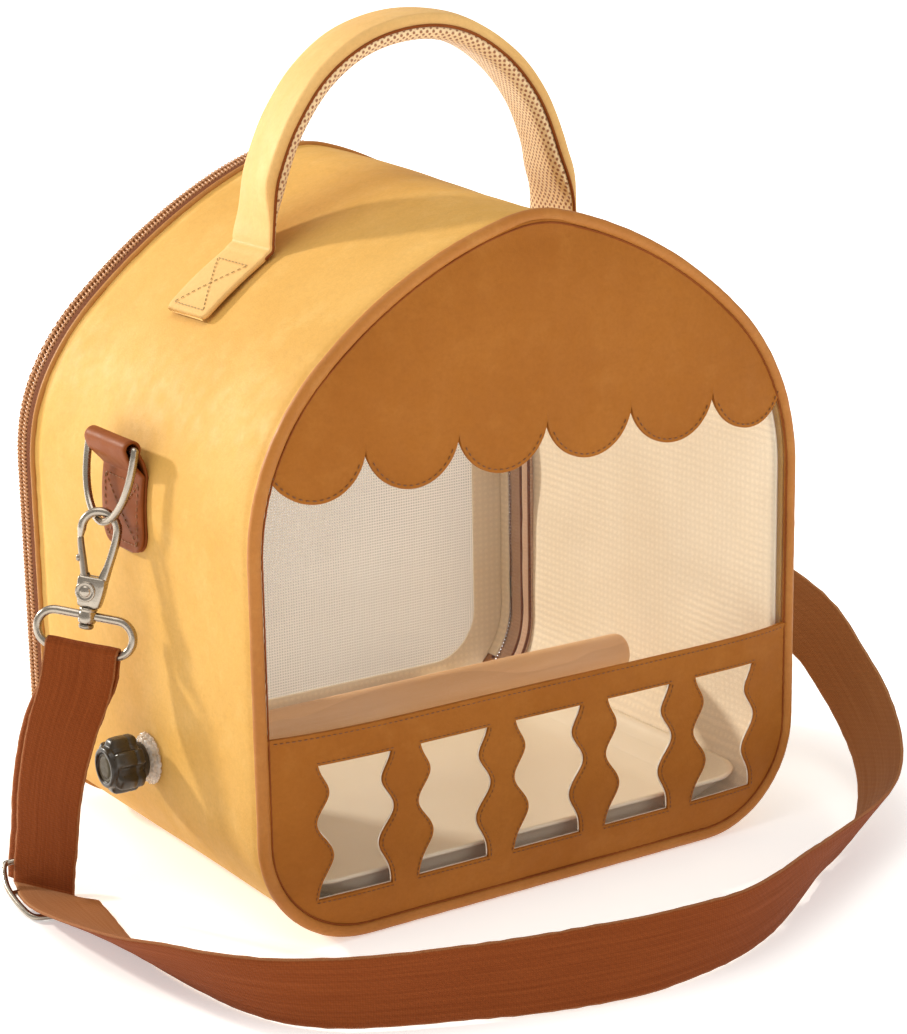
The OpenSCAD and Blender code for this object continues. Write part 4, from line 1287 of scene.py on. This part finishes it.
left_foot = [roof_pt(x, 1.45) for x in lx]
bend_l = catmull([left_foot[-1], roof_pt(-63.8, 2.0), [-62.6, 254.6], [-62.3, 258.2]], 5)[1:]
right_up = [p for p in arch if p[1] > 258.5 and p[0] < 0]
mid_arch = [p for p in arch if (p[1] > 258.5)]
rf = [roof_pt(x, 1.45) for x in np.linspace(80.5, 59.5, 20)]
bend_r = catmull([arch[-14], arch[-7], arch[-1] + [0.4, 1.2], roof_pt(84.2, 1.9), rf[0]], 6)[1:-1]
line = np.vstack([left_foot, bend_l, mid_arch, bend_r, rf])
keep = [0]
for i in range(1, len(line)):
    if np.linalg.norm(line[i] - line[keep[-1]]) > 0.8:
        keep.append(i)
line = resample(line[keep], 300)
HS = np.r_[0, np.cumsum(np.linalg.norm(np.diff(line, axis=0), axis=1))]
ht = unit(np.gradient(line, axis=0))
hn = np.stack([-ht[:, 1], ht[:, 0]], -1)          # outwards of the arch, up on the roof
top_i = int(np.argmax(line[:, 1]))


def handle_shear(V):
    V = np.array(V, float)
    V[..., 0] += 0.25 * (V[..., 1] - HY) * smooth01((V[..., 2] - 255) / 30)
    return V


def sweep_section(b, idx, section, uvscale=1.0, disp=None):
    """section(i) returns rows of (across, out) for station i of the handle's line."""
    rows = [np.asarray(section(i), float) for i in idx]
    k = len(rows[0])
    V = np.zeros((len(idx), k, 3))
    uv = np.zeros((len(idx), k, 2))
    for a, i in enumerate(idx):
        c = line[i]
        V[a, :, 0] = c[0] + rows[a][:, 1] * hn[i, 0]
        V[a, :, 1] = HY + rows[a][:, 0]
        V[a, :, 2] = c[1] + rows[a][:, 1] * hn[i, 1]
        uv[a, :, 0] = HS[i] * MM
        per = np.r_[0, np.cumsum(np.linalg.norm(np.diff(rows[a], axis=0), axis=1))]
        uv[a, :, 1] = (per - per[-1] / 2) * MM
    if disp is not None:
        V += disp(V)
    V = handle_shear(V)
    f = grid_faces(len(idx), k, False, True, flip=True)
    f.append(list(range(k)))
    f.append([(len(idx) - 1) * k + j for j in range(k)][::-1])
    b.add(V.reshape(-1, 3), f, uv.reshape(-1, 2))
    return V


def arch_share(i):
    """0 at the feet, 1 along the padded part."""
    z = line[i, 1]
    a = 1.0 if 0 else smooth01((z - 262) / 22)
    if line[i, 0] > 30:
        a = smooth01((z - 256) / 22)
    return float(a)


def strip_section(i):
    a = arch_share(i)
    e = min(HS[i], HS[-1] - HS[i])
    w = HWD / 2 * (1 - 0.10 * (1 - smooth01(e / 3.0))) + 2.2 * a
    t1 = 1.1 + 3.3 * a                     # outer face above the middle line
    t0 = 1.1 - 0.6 * a
    pts = []
    n = 15
    for u in np.linspace(-1, 1, n):
        crown = (1 - u ** 2) * 0.9 * a
        pts.append((u * (w - 0.9), t1 + crown))
    pts += [(w - 0.25, t1 * 0.8), (w, (t1 - t0) / 2), (w - 0.25, -t0 * 0.8)]
    for u in np.linspace(1, -1, 9):
        pts.append((u * (w - 0.9), -t0))
    pts += [(-w + 0.25, -t0 * 0.8), (-w, (t1 - t0) / 2), (-w + 0.25, t1 * 0.8)]
    return pts


b = Build()
sweep_section(b, range(len(line)), strip_section, disp=lambda V: 0.28 * np.stack([noise3(V, 17), 0 * V[..., 0], noise3(V + 31, 17)], -1))
hstrip = b.make("handle_outer_strip", M["yellow_handle"])
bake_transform(hstrip)
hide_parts("handle_strip", "handle_leg_left", "handle_leg_right", "handle_tab_left", "handle_tab_right")

pad_idx = [i for i in range(len(line)) if 33.5 < HS[i] < HS[-1] - 29]


def pad_section(i):
    a = arch_share(i)
    j = (i - pad_idx[0]) / (pad_idx[-1] - pad_idx[0])
    e = min(j, 1 - j)
    g = smooth01(e / 0.03)
    w = (HWD / 2 - 0.7 + 2.2 * a) * (0.9 + 0.1 * g)
    t = 0.7 + (1.3 + 4.2 * a) * g
    pts = []
    for u in np.linspace(-1, 1, 9):
        pts.append((u * (w - 0.6), -0.45))
    pts += [(w, -1.1), (w - 0.1, -0.9 - 0.35 * t)]
    for u in np.linspace(1, -1, 19):
        roll = max(0.0, 1 - abs(u) ** 3.4) ** 0.55
        pts.append((u * (w - 0.7), -0.7 - 0.45 * t - 0.55 * t * roll))
    pts += [(-w + 0.1, -0.9 - 0.35 * t), (-w, -1.1)]
    return pts


b = Build()
sweep_section(b, pad_idx, pad_section, disp=lambda V: 0.35 * np.stack([noise3(V, 22), 0 * V[..., 0], noise3(V + 11, 22)], -1))
hpad = b.make("handle_inner_pad", M["pad"])
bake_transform(hpad)
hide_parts("handle_pad")


def hpoint(i, across, out):
    c = line[i]
    p = np.array([c[0] + out * hn[i, 0], HY + across, c[1] + out * hn[i, 1]])
    return handle_shear(p)


def hnormal(i):
    return np.array([hn[i, 0], 0, hn[i, 1]])


# dark binding line where the outer strip and the pad meet
b = Build()
for sgn in (-1, 1):
    pth = [hpoint(i, sgn * (HWD / 2 - 0.15 + 2.2 * arch_share(i)), -0.35) for i in pad_idx[2:-2]]
    tube_into(b, pth, 0.62, 8)
hed = b.make("handle_edge_line", M["tab"])
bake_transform(hed)

b = Build()
# box with a cross at each foot
ends = [(3, int(np.argmin(np.abs(HS - 29.5)))), (len(line) - 4, int(np.argmin(np.abs(HS - (HS[-1] - 21)))))]
for e0, e1 in ends:
    ia, ib = sorted((e0, e1))
    side = 1 if ia < len(line) / 2 else -1
    lift = 1.25 * side
    for i in (ia, ib):
        pth = [hpoint(i, u, lift) for u in np.linspace(-12.2, 12.2, 12)]
        stitches_into(b, pth, side * hnormal(i), pitch=2.6, length=1.9, r=0.24)
    for sgn in (-1, 1):
        n = 24
        ii = np.linspace(ia, ib, n).round().astype(int)
        pth = [hpoint(i, sgn * (-12.2 + 24.4 * k / (n - 1)), lift) for k, i in enumerate(ii)]
        stitches_into(b, pth, [side * hnormal(i) for i in ii], pitch=2.6, length=1.9, r=0.24)
# rows across the strip just above its right foot
for back in (29.0, 32.5):
    i = int(np.argmin(np.abs(HS - (HS[-1] - back))))
    pth = [hpoint(i, u, 1.1 + 3.3 * arch_share(i) + 0.12) for u in np.linspace(-12.8, 12.8, 12)]
    stitches_into(b, pth, hnormal(i), pitch=2.6, length=1.9, r=0.24)
hst = b.make("handle_stitching", M["thread_brown"])
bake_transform(hst)

# ------------------------------------------------------------------ clips on both sides
TAB = np.array([-133.2, -2.0, 185.0])
LEAN, TURN = math.radians(12), math.radians(-44)
R_LOW, R_A, R_S, R_W = 9.0, math.radians(56), 0.6, 19.6
R_SIDE = (R_W - R_LOW * math.cos(R_A) - R_S * math.sin(R_A)) / (1 - math.cos(R_A))
R_DROP = 3 + R_S + (R_SIDE - R_LOW) * math.sin(R_A) + R_S * math.cos(R_A) + R_LOW
NOSE_Z = -R_DROP - 7.4 + 1.75 + 1.6 + 0.6
NOSE = TAB + np.array([NOSE_Z * math.sin(LEAN), 0, NOSE_Z * math.cos(LEAN)])
HX = np.array([math.cos(TURN) * math.cos(LEAN), math.sin(TURN), -math.cos(TURN) * math.sin(LEAN)])
HYV = np.array([math.sin(LEAN), 0, math.cos(LEAN)])
HZ = np.cross(HX, HYV)


def hk(a, v, c=0.0):
    """A point of the hook's own frame: across, up, out of its plane."""
    return NOSE + a * HX + v * HYV + c * HZ


def mirror_pts(V, s):
    V = np.array(V, float)
    if s < 0:
        V[..., 0] *= -1
    return V


def mirrored(b, s):
    if s < 0:
        b.v = [[-v[0], v[1], v[2]] for v in b.v]
        b.f = [f[::-1] for f in b.f]
    return b


def clip_parts(s, side):
    # sewn tab that carries the D-ring: one sheet folded round the ring's bar
    n = 30
    zl = np.linspace(141.2, 173.5, 18)
    back, front = [], []
    for z in zl:
        p, nv = side_surface(z, -2, True, 0)
        back.append((p[0] - 0.75, p[2]))
        front.append((p[0] - 2.15, p[2]))
    arc = [(TAB[0] + 3.15 * math.cos(a), TAB[2] + 3.15 * math.sin(a)) for a in np.radians(np.linspace(-22, 208, 26))]
    neck_b = catmull([back[-1], (-128.4, 178.5), (arc[0][0] - 0.1, arc[0][1] - 1.2), arc[0]], 5)[1:-1]
    neck_f = catmull([arc[-1], (-134.8, 180.6), (-131.6, 177.0), front[-1]], 5)[1:-1]
    mid = np.vstack([back, neck_b, arc, neck_f, front[::-1]])
    mid = resample(mid, 130)
    t = unit(np.gradient(mid, axis=0))
    nn = np.stack([-t[:, 1], t[:, 0]], -1)
    yw = 17.5
    ring = []
    for u in np.linspace(-1, 1, 17):
        ring.append((u * (yw - 0.4), 0.62))
    ring += [(yw, 0.3), (yw, -0.3)]
    for u in np.linspace(1, -1, 17):
        ring.append((u * (yw - 0.4), -0.62))
    ring += [(-yw, -0.3), (-yw, 0.3)]
    ring = np.array(ring)
    V = np.zeros((len(mid), len(ring), 3))
    for i in range(len(mid)):
        V[i, :, 0] = mid[i, 0] + ring[:, 1] * nn[i, 0]
        low = mid[i, 1] - 141.2
        kk = 1.0 if low > 9 else (yw - 9 + math.sqrt(max(81 - (9 - max(low, 0)) ** 2, 0))) / yw
        V[i, :, 1] = TAB[1] + ring[:, 0] * kk
        V[i, :, 2] = mid[i, 1] + ring[:, 1] * nn[i, 1]
    V[..., 0] += 0.12 * noise3(V, 8)
    b = Build()
    f = grid_faces(len(mid), len(ring), False, True)
    f.append(list(range(len(ring)))[::-1])
    f.append([(len(mid) - 1) * len(ring) + k for k in range(len(ring))])
    b.add(V.reshape(-1, 3), f)
    put(mirrored(b, s).make("ring_tab_sheet_" + side, M["tab"]), "carrier", ("ring_tab_" + side,))
    # its stitching
    b = Build()

    def tp(y, z):
        p, nv = side_surface(z, -2, True, 0)
        return np.array([p[0] - 2.85, TAB[1] + y, p[2]])
    nrm = (-1, 0, 0.1)
    box = [(-12.8, 144.6), (12.8, 144.6), (14.2, 170), (-14.2, 170), (-12.8, 144.6)]
    for (y0, z0), (y1, z1) in zip(box[:-1], box[1:]):
        stitches_into(b, [tp(y0 + (y1 - y0) * k / 9, z0 + (z1 - z0) * k / 9) for k in range(10)], nrm, pitch=2.7, length=1.9, r=0.24)
    for a, c in (((-12.8, 144.6), (14.2, 170)), ((12.8, 144.6), (-14.2, 170))):
        stitches_into(b, [tp(a[0] + (c[0] - a[0]) * k / 12, a[1] + (c[1] - a[1]) * k / 12) for k in range(13)], nrm, pitch=2.7, length=1.9, r=0.24)
    put(mirrored(b, s).make("ring_tab_stitching_" + side, M["thread_tan"]), "carrier")

    # D-ring
    half = [(0, 0), (17.6, 0), (19.2, -0.7), (19.6, -2.4)]
    half += [(R_W * (1 - q ** 2.2) ** 0.56, -3.6 - q * (R_DROP - 3.6)) for q in (0.06, 0.16, 0.28, 0.40, 0.52, 0.64, 0.75, 0.84, 0.91, 0.96, 0.99, 1.0)]
    loop = np.array(half + [(-p[0], p[1]) for p in half[-2:0:-1]])
    q = np.vstack([loop[-3:], loop, loop[:3]])
    q = catmull(q, 6)
    q = q[3 * 6:-3 * 6 + 1]
    loop = resample(q[:-1], 150, closed=True)
    path = TAB + np.stack([loop[:, 1] * math.sin(LEAN), loop[:, 0], loop[:, 1] * math.cos(LEAN)], -1)
    b = Build()
    tube_into(b, path, 1.6, 18, True, up=(1, 0, 0))
    put(mirrored(b, s).make("d_ring_wire_" + side, M["metal"]), "clip_" + side, ("d_ring_" + side,))

    # hook: nose, fixed leg and body
    b = Build()
    r = 7.4
    loc = [(-r, -3.4), (-r, -1.8)] + [(r * math.cos(a), r * math.sin(a)) for a in np.linspace(math.pi, 0, 26)]
    loc += [(7.35, -2.5), (6.9, -6.5), (6.2, -11), (5.2, -16), (4.2, -20.5), (3.9, -23)]
    loc = resample(catmull(loc, 4), 90)
    rad = 1.75 + 0.55 * smooth01((-loc[:, 1] - 12) / 9)
    rad[:6] = np.linspace(1.3, 1.75, 6)
    tube_into(b, [hk(a, v) for a, v in loc], rad, 18, up=HZ)
    rows = []
    for v, wx, tz in ((-18.9, 4.2, 2.3), (-19.2, 5.4, 2.8), (-19.8, 5.95, 3.0), (-22.6, 5.9, 3.05), (-25.4, 5.6, 3.05), (-28.2, 5.1, 3.0), (-30.2, 4.7, 2.9), (-31.0, 4.4, 2.7), (-31.2, 3.6, 2.3)):
        ring = []
        for a in np.linspace(0, 2 * np.pi, 32, endpoint=False):
            ca, sa = math.cos(a), math.sin(a)
            ring.append(hk(0.2 + wx * math.copysign(abs(ca) ** 0.34, ca), v, tz * math.copysign(abs(sa) ** 0.34, sa)))
        rows.append(ring)
    V = np.array(rows)
    f = grid_faces(len(rows), 32, False, True)
    f.append(list(range(32))[::-1])
    f.append([(len(rows) - 1) * 32 + k for k in range(32)])
    b.add(V.reshape(-1, 3), f)
    put(mirrored(b, s).make("snap_hook_" + side, M["metal"]), "hook_" + side, ("hook_" + side,))

    # gate: round bar with a flat foot that enters the body
    b = Build()
    g = catmull([(-2.9, -21.5), (-3.9, -17.5), (-5.4, -12), (-6.6, -7.6), (-7.3, -4.6)], 8)
    rad = np.linspace(1.7, 1.3, len(g))
    tube_into(b, [hk(a, v) for a, v in g], rad, 16, up=HZ)
    rows = []
    for v, wx in ((-17.6, 1.5), (-18.8, 2.1), (-21, 2.4), (-24, 2.3), (-27, 2.0)):
        ring = [hk(-3.5 + (v + 22) * 0.05 + wx * math.copysign(abs(math.cos(a)) ** 0.6, math.cos(a)), v, 1.05 * math.copysign(abs(math.sin(a)) ** 0.6, math.sin(a))) for a in np.linspace(0, 2 * np.pi, 20, endpoint=False)]
        rows.append(ring)
    V = np.array(rows)
    f = grid_faces(len(rows), 20, False, True)
    f.append(list(range(20))[::-1])
    f.append([(len(rows) - 1) * 20 + k for k in range(20)])
    b.add(V.reshape(-1, 3), f)
    # thumb pad on the gate
    revolve_into(b, [(-0.2, 0.2), (0, 1.3), (0.9, 1.55), (1.7, 1.25), (2.0, 0.2)], hk(-6.0, -12.4), -HX, HZ, 16)
    put(mirrored(b, s).make("hook_gate_" + side, M["metal_dark"]), "gate_" + side, ("gate_" + side,))

    # rivet with a ring round each head
    b = Build()
    o = hk(-1.5, -25.0)
    for sg in (1, -1):
        revolve_into(b, [(2.6, 4.1), (3.35, 4.15), (3.6, 3.9), (3.62, 3.2), (3.3, 2.9), (3.25, 2.3), (3.7, 2.1), (3.95, 1.3), (4.0, 0.1)], o, sg * HZ, HX, 24)
    revolve_into(b, [(-3.0, 1.0), (3.0, 1.0)], o, HZ, HX, 16)
    put(mirrored(b, s).make("gate_rivet_heads_" + side, M["metal"]), "hook_" + side, ("gate_rivet_" + side,))

    # swivel stud under the collar
    b = Build()
    revolve_into(b, [(30.6, 1.9), (37.9, 1.95), (38.35, 2.0), (38.4, 2.8), (38.7, 3.0), (39.6, 3.0), (40.1, 2.6), (40.35, 1.6), (40.4, 0.1)], NOSE, -HYV, HX, 24)
    put(mirrored(b, s).make("swivel_pin_" + side, M["metal_dark"]), "hook_" + side, ("swivel_stud_" + side,))

    # bail: oval loop with the swivel's collar
    b = Build()
    half_w, top, br = 12.75, -34.8, 7.25
    st = [(x, top) for x in np.linspace(-half_w, half_w, 16)]
    st += [(half_w + br * math.sin(a), top - br + br * math.cos(a)) for a in np.linspace(0, math.pi, 20)[1:-1]]
    st += [(x, top - 2 * br) for x in np.linspace(half_w, -half_w, 16)]
    st += [(-half_w - br * math.sin(a), top - br - br * math.cos(a)) for a in np.linspace(0, math.pi, 20)[1:-1]]
    st = resample(st, 110, closed=True)
    tube_into(b, [hk(a, v) for a, v in st], 1.75, 18, True, up=HZ)
    revolve_into(b, [(31.45, 2.5), (31.5, 3.3), (31.8, 3.65), (32.4, 3.75), (32.8, 3.45), (33.2, 3.4), (33.5, 3.7), (36.6, 3.7), (37.4, 3.5), (37.9, 3.1), (38.0, 2.4)], NOSE, -HYV, HX, 32)
    put(mirrored(b, s).make("strap_bail_" + side, M["metal"]), "clip_" + side, ("bail_" + side,))


clip_parts(1, "left")
clip_parts(-1, "right")

# ------------------------------------------------------------------ straps


def ribbon(name, rows, n, width=30.0, thick=1.45, oblique=0.0, crown=0.25, mats=("strap", "strap_under")):
    """A flat woven strap. rows: middle x, y, z and the direction of its width. Returns the piece and its middle line in metres."""
    L = catmull(rows, n)
    p = L[:, :3]
    t = unit(np.gradient(p, axis=0))
    a = unit(L[:, 3:])
    raw = a
    a = unit(a - np.sum(a * t, 1, keepdims=True) * t)
    c = np.cross(t, a)
    s = np.r_[0, np.cumsum(np.linalg.norm(np.diff(p, axis=0), axis=1))]
    if oblique:
        w = smooth01(1 - s / oblique)[:, None]
        a = unit(a * (1 - w) + raw * w)
    us = np.linspace(-1, 1, 21)
    w = width / 2
    k = 21
    V, uv, cen = [], [], []
    for i in range(len(p)):
        ww = w * (1 + 0.006 * math.sin(s[i] * 1.9) + 0.006 * math.sin(s[i] * 0.73 + 1))
        sect = []
        for u in us:
            h = thick / 2 * (1 - 0.35 * abs(u) ** 8) + 0.12 * math.cos(u * 16)*0.3
            sect.append((u * ww, h + crown * (1 - u * u)))
        for u in us[::-1]:
            h = thick / 2 * (1 - 0.35 * abs(u) ** 8)
            sect.append((u * ww, -h + crown * (1 - u * u)))
        sect = np.array(sect)
        V.append(p[i] + sect[:, :1] * a[i] + sect[:, 1:] * c[i])
        uv.append(np.column_stack([np.full(2 * k, s[i]), sect[:, 0]]) * MM)
    V, uv = np.array(V), np.array(uv)
    V += 0.10 * np.stack([noise3(V, 5), noise3(V + 50, 5), noise3(V + 90, 5)], -1)
    b = Build()
    f = grid_faces(len(p), 2 * k, False, True, flip=False)
    top = [(q[0] % (2 * k)) < k - 1 or (q[0] % (2 * k)) == 2 * k - 1 for q in f]
    f.append(list(range(2 * k))[::-1])
    f.append([(len(p) - 1) * 2 * k + j for j in range(2 * k)])
    b.add(V.reshape(-1, 3), f, uv.reshape(-1, 2))
    ob = b.make(name, M[mats[0]])
    ob.data.materials.append(M[mats[1]])
    sel = [0 if (j < len(top) and (f[j][0] % (2 * k)) < k) else 1 for j in range(len(f))]
    ob.data.polygons.foreach_set("material_index", sel)
    return ob, p * MM, s[-1] * MM


M["strap_under"] = webbing("strap_webbing_underside", (0.38, 0.155, 0.055), (0.32, 0.125, 0.043), (0.50, 0.26, 0.12))

MAIN = np.array([[-171.9, 1.6, 3.7, -47, 88, 2], [-172.0, -6, 4.0, -60, 78, 5], [-172.2, -15.5, 4.3, -84, 46, 12], [-173, -26.9, 4.5, -96, -17, 22], [-175.9, -49.8, 6.9, -92, 5, 40], [-177.4, -72.7, 9.4, -82, 6, 56], [-175.8, -95.5, 11.3, -72, -1, 70],
                 [-171.2, -117.8, 13.3, -56, -8, 82], [-164.9, -139.5, 14.4, -41, -13, 90], [-154.6, -158.8, 15.2, -25, -14, 96], [-138.9, -173.8, 15.7, -11, -12, 99],
                 [-119.1, -184.6, 15.9, -5, -10, 99], [-97.6, -193.4, 16, -2, -5, 100], [-75.5, -201.3, 15.9, 1, 5, 100], [-52.9, -207.4, 15.9, 2, 12, 99], [-30, -211.7, 15.8, 1, 10, 99],
                 [-7.1, -212.6, 16, 1, -3, 100], [15.6, -210.5, 15.7, 4, -15, 99], [37.5, -203.5, 15.6, 8, -18, 98], [58.5, -193.3, 15.4, 13, -23, 97], [79.2, -182, 14.7, 21, -33, 92],
                 [99.6, -170.2, 14, 25, -43, 87], [120.3, -159.6, 13.7, 25, -48, 84], [140.1, -147.8, 15.7, 27, -56, 79], [156.8, -133.3, 20.8, 29, -58, 76], [169.5, -116.2, 28.6, 30, -57, 76],
                 [177.9, -97.4, 38.4, 35, -55, 76], [182.5, -77.7, 49.5, 36, -49, 79], [184.1, -58.6, 61.8, 44, -35, 83], [178.6, -38.4, 73.4, 65, -9, 76], [168.6, -19.3, 83.6, 79, 29, 54],
                 [157.5, -6, 89.6, 74, 56, 30], [153.4, -2.4, 92.4, 70, 69, 15]], float)
BAR = hk(0, -49.3)
BAR_R = BAR * np.array([-1, 1, 1])
XR = -HX * np.array([-1, 1, 1])                   # width direction at the right bail
YR = HYV * np.array([-1, 1, 1])
ZR = HZ * np.array([-1, 1, 1])
main_rows = MAIN.copy()
over = [np.r_[BAR_R + 3.15 * (math.cos(a) * ZR + math.sin(a) * YR), XR * 100] for a in np.radians([-8])]
main_rows = np.vstack([main_rows[:-1], np.r_[(MAIN[-1, :3] + BAR_R + 3.2 * ZR) / 2 + [0.2, -0.6, -1.2], XR * 100], over])
strap, path, length = ribbon("shoulder_strap", main_rows, 5, oblique=34.0)
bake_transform(strap)
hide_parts("strap_main")

# its end turns round the bail's bar and is sewn back
loop_rows = over + [np.r_[BAR_R + 3.15 * (math.cos(a) * ZR + math.sin(a) * YR), XR * 100] for a in np.radians([25, 60, 95, 130, 165, 190])]
mid = catmull(main_rows, 5)
mp = mid[:, :3]
mt = unit(np.gradient(mp, axis=0))
ma = unit(mid[:, 3:])
ma = unit(ma - np.sum(ma * mt, 1, keepdims=True) * mt)
mc = np.cross(mt, ma)
back_s = np.r_[0, np.cumsum(np.linalg.norm(np.diff(mp[::-1], axis=0), axis=1))][::-1]
tail = []
for dist in (11.0, 18.0, 25.0, 32.0, 39.0):
    i = int(np.argmin(np.abs(back_s - dist)))
    sgn = -1.0 if np.dot(mc[i], ZR) > 0 else 1.0
    off = 1.75 + 1.2 * math.exp(-(dist - 11.0) / 4.0)
    tail.append(np.r_[mp[i] + sgn * off * mc[i], ma[i] * 100])
eob, _, _ = ribbon("strap_end_loop_right", loop_rows + tail, 6, mats=("strap", "strap"), crown=0.0)
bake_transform(eob)
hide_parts("strap_end_right")

# doubled run on the left: up the front, round the bail's bar and down behind
FRONT = np.array([[-155, -4.4, 92.4, 70, -69, -15], [-157.6, -4.2, 84, 68, -72, -8], [-162, -3, 72, 62, -78, 0], [-165.8, -1, 56, 55, -84, 0], [-168.2, 0.6, 40, 50, -87, 0],
                  [-169.2, 1.6, 26, 48, -88, 0], [-170.8, 2, 14, 47, -88, 0], [-171.8, 2, 3.6, 47, -88, 0]], float)
BACK = np.array([[-150.6, 0.3, 91.4, 70, -69, -15], [-154.2, 1.4, 84, 68, -72, -8], [-160.6, 3.4, 72, 62, -78, 0], [-165.0, 5.5, 56, 55, -84, 0], [-167.6, 7.1, 40, 50, -87, 0],
                 [-168.6, 8.1, 26, 48, -88, 0], [-170.3, 8.5, 14, 47, -88, 0], [-171.3, 8.5, 3.6, 47, -88, 0]], float)
turn = [np.r_[BAR + 3.15 * (math.cos(a) * HZ + math.sin(a) * HYV), HX * 100] for a in np.radians([-10, 25, 60, 95, 130, 165, 190])]
rows = np.vstack([FRONT[::-1], turn, BACK])
run, _, _ = ribbon("strap_doubled_run", rows, 5, mats=("strap", "strap"))
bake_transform(run)
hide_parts("strap_left_run", "strap_end_left")
# slide buckle: a loop of round wire round the fold, with a bar across its middle
b = Build()
fr = [(-178.8, 17.3, 12), (-181.6, 17.2, 11.6), (-183.4, 14.4, 9.6), (-185.6, 7.5, 7.2), (-186.4, 1.5, 5.4), (-186.6, -8, 3.2), (-185.6, -15.6, 1.7), (-182.4, -18.6, 1.4), (-176, -20.4, 1.35), (-169.5, -21.6, 1.35),
      (-166.6, -19.5, 1.35), (-164.4, -11, 1.4), (-162.6, 0, 2.2), (-161, 8, 8), (-160.6, 11.2, 12), (-162.6, 13.4, 13.2), (-168, 14.6, 13)]
q = np.array(fr[-3:] + fr + fr[:3], float)
q = catmull(q, 6)[3 * 6:-3 * 6 + 1]
tube_into(b, resample(q[:-1], 150, closed=True), 1.25, 16, True)
tube_into(b, catmull([(-186.2, 1.5, 5.3), (-182.2, 2.9, 4.4), (-177.5, 2.6, 2.0), (-171, 1.4, 1.4), (-163.2, -1.0, 1.6)], 5), 1.15, 14)
bk = put(b.make("slide_buckle_wire", M["metal"]), "carrier", ("slide_buckle",))

# ------------------------------------------------------------------ floor, world and lights
def floor_material():
    m = Mat("pale_floor", rough=0.62, spec=0.25)
    m.color(m.mix(m.remap(m.noise(3, 3), 0.3, 0.7, 0, 1), (0.95, 0.945, 0.935), (0.93, 0.925, 0.915)))
    vl = m.n("ShaderNodeVectorMath", operation="LENGTH")
    m.link(m.coords(), vl.inputs[0])
    m.b.inputs["Emission Color"].default_value = (1, 1, 1, 1)
    m.link(m.remap(vl.outputs["Value"], 0.2, 0.6, 0.42, 0.95), m.b.inputs["Emission Strength"])
    m.rough(m.remap(m.noise(40, 3), 0.3, 0.7, 0.55, 0.7))
    return m.m


me = bpy.data.meshes.new("floor")
me.from_pydata([(-6, -6, -0.0002), (6, -6, -0.0002), (6, 6, -0.0002), (-6, 6, -0.0002)], [], [(0, 1, 2, 3)])
fl = bpy.data.objects.new("floor", me)
bpy.context.scene.collection.objects.link(fl)
me.materials.append(floor_material())

world = bpy.data.worlds.new("studio")
bpy.context.scene.world = world
world.use_nodes = True
world.node_tree.nodes["Background"].inputs[0].default_value = (1.0, 0.965, 0.915, 1)
world.node_tree.nodes["Background"].inputs[1].default_value = 0.54


def area(name, pos, target, size, power, color=(1, 1, 1)):
    d = bpy.data.lights.new(name, "AREA")
    d.shape = "RECTANGLE"
    d.size, d.size_y = size
    d.energy = power
    d.color = color
    o = bpy.data.objects.new(name, d)
    bpy.context.scene.collection.objects.link(o)
    o.location = pos
    v = Vector(target) - Vector(pos)
    o.rotation_euler = v.to_track_quat("-Z", "Y").to_euler()
    return o


area("key", (-1.02, 1.80, 0.86), (0, 0, 0.12), (0.15, 0.15), 43, (1.0, 0.95, 0.86))
area("top", (-0.5, 0.1, 1.9), (0, 0, 0.1), (1.4, 1.4), 14, (1.0, 0.97, 0.92))
area("front_fill", (0.6, -2.0, 0.9), (0, 0, 0.1), (1.4, 1.0), 7, (1.0, 0.95, 0.88))

sc = bpy.context.scene
sc.view_settings.view_transform = "Standard"
sc.view_settings.look = "None"
sc.view_settings.exposure = 0.0
sc.view_settings.gamma = 1.0
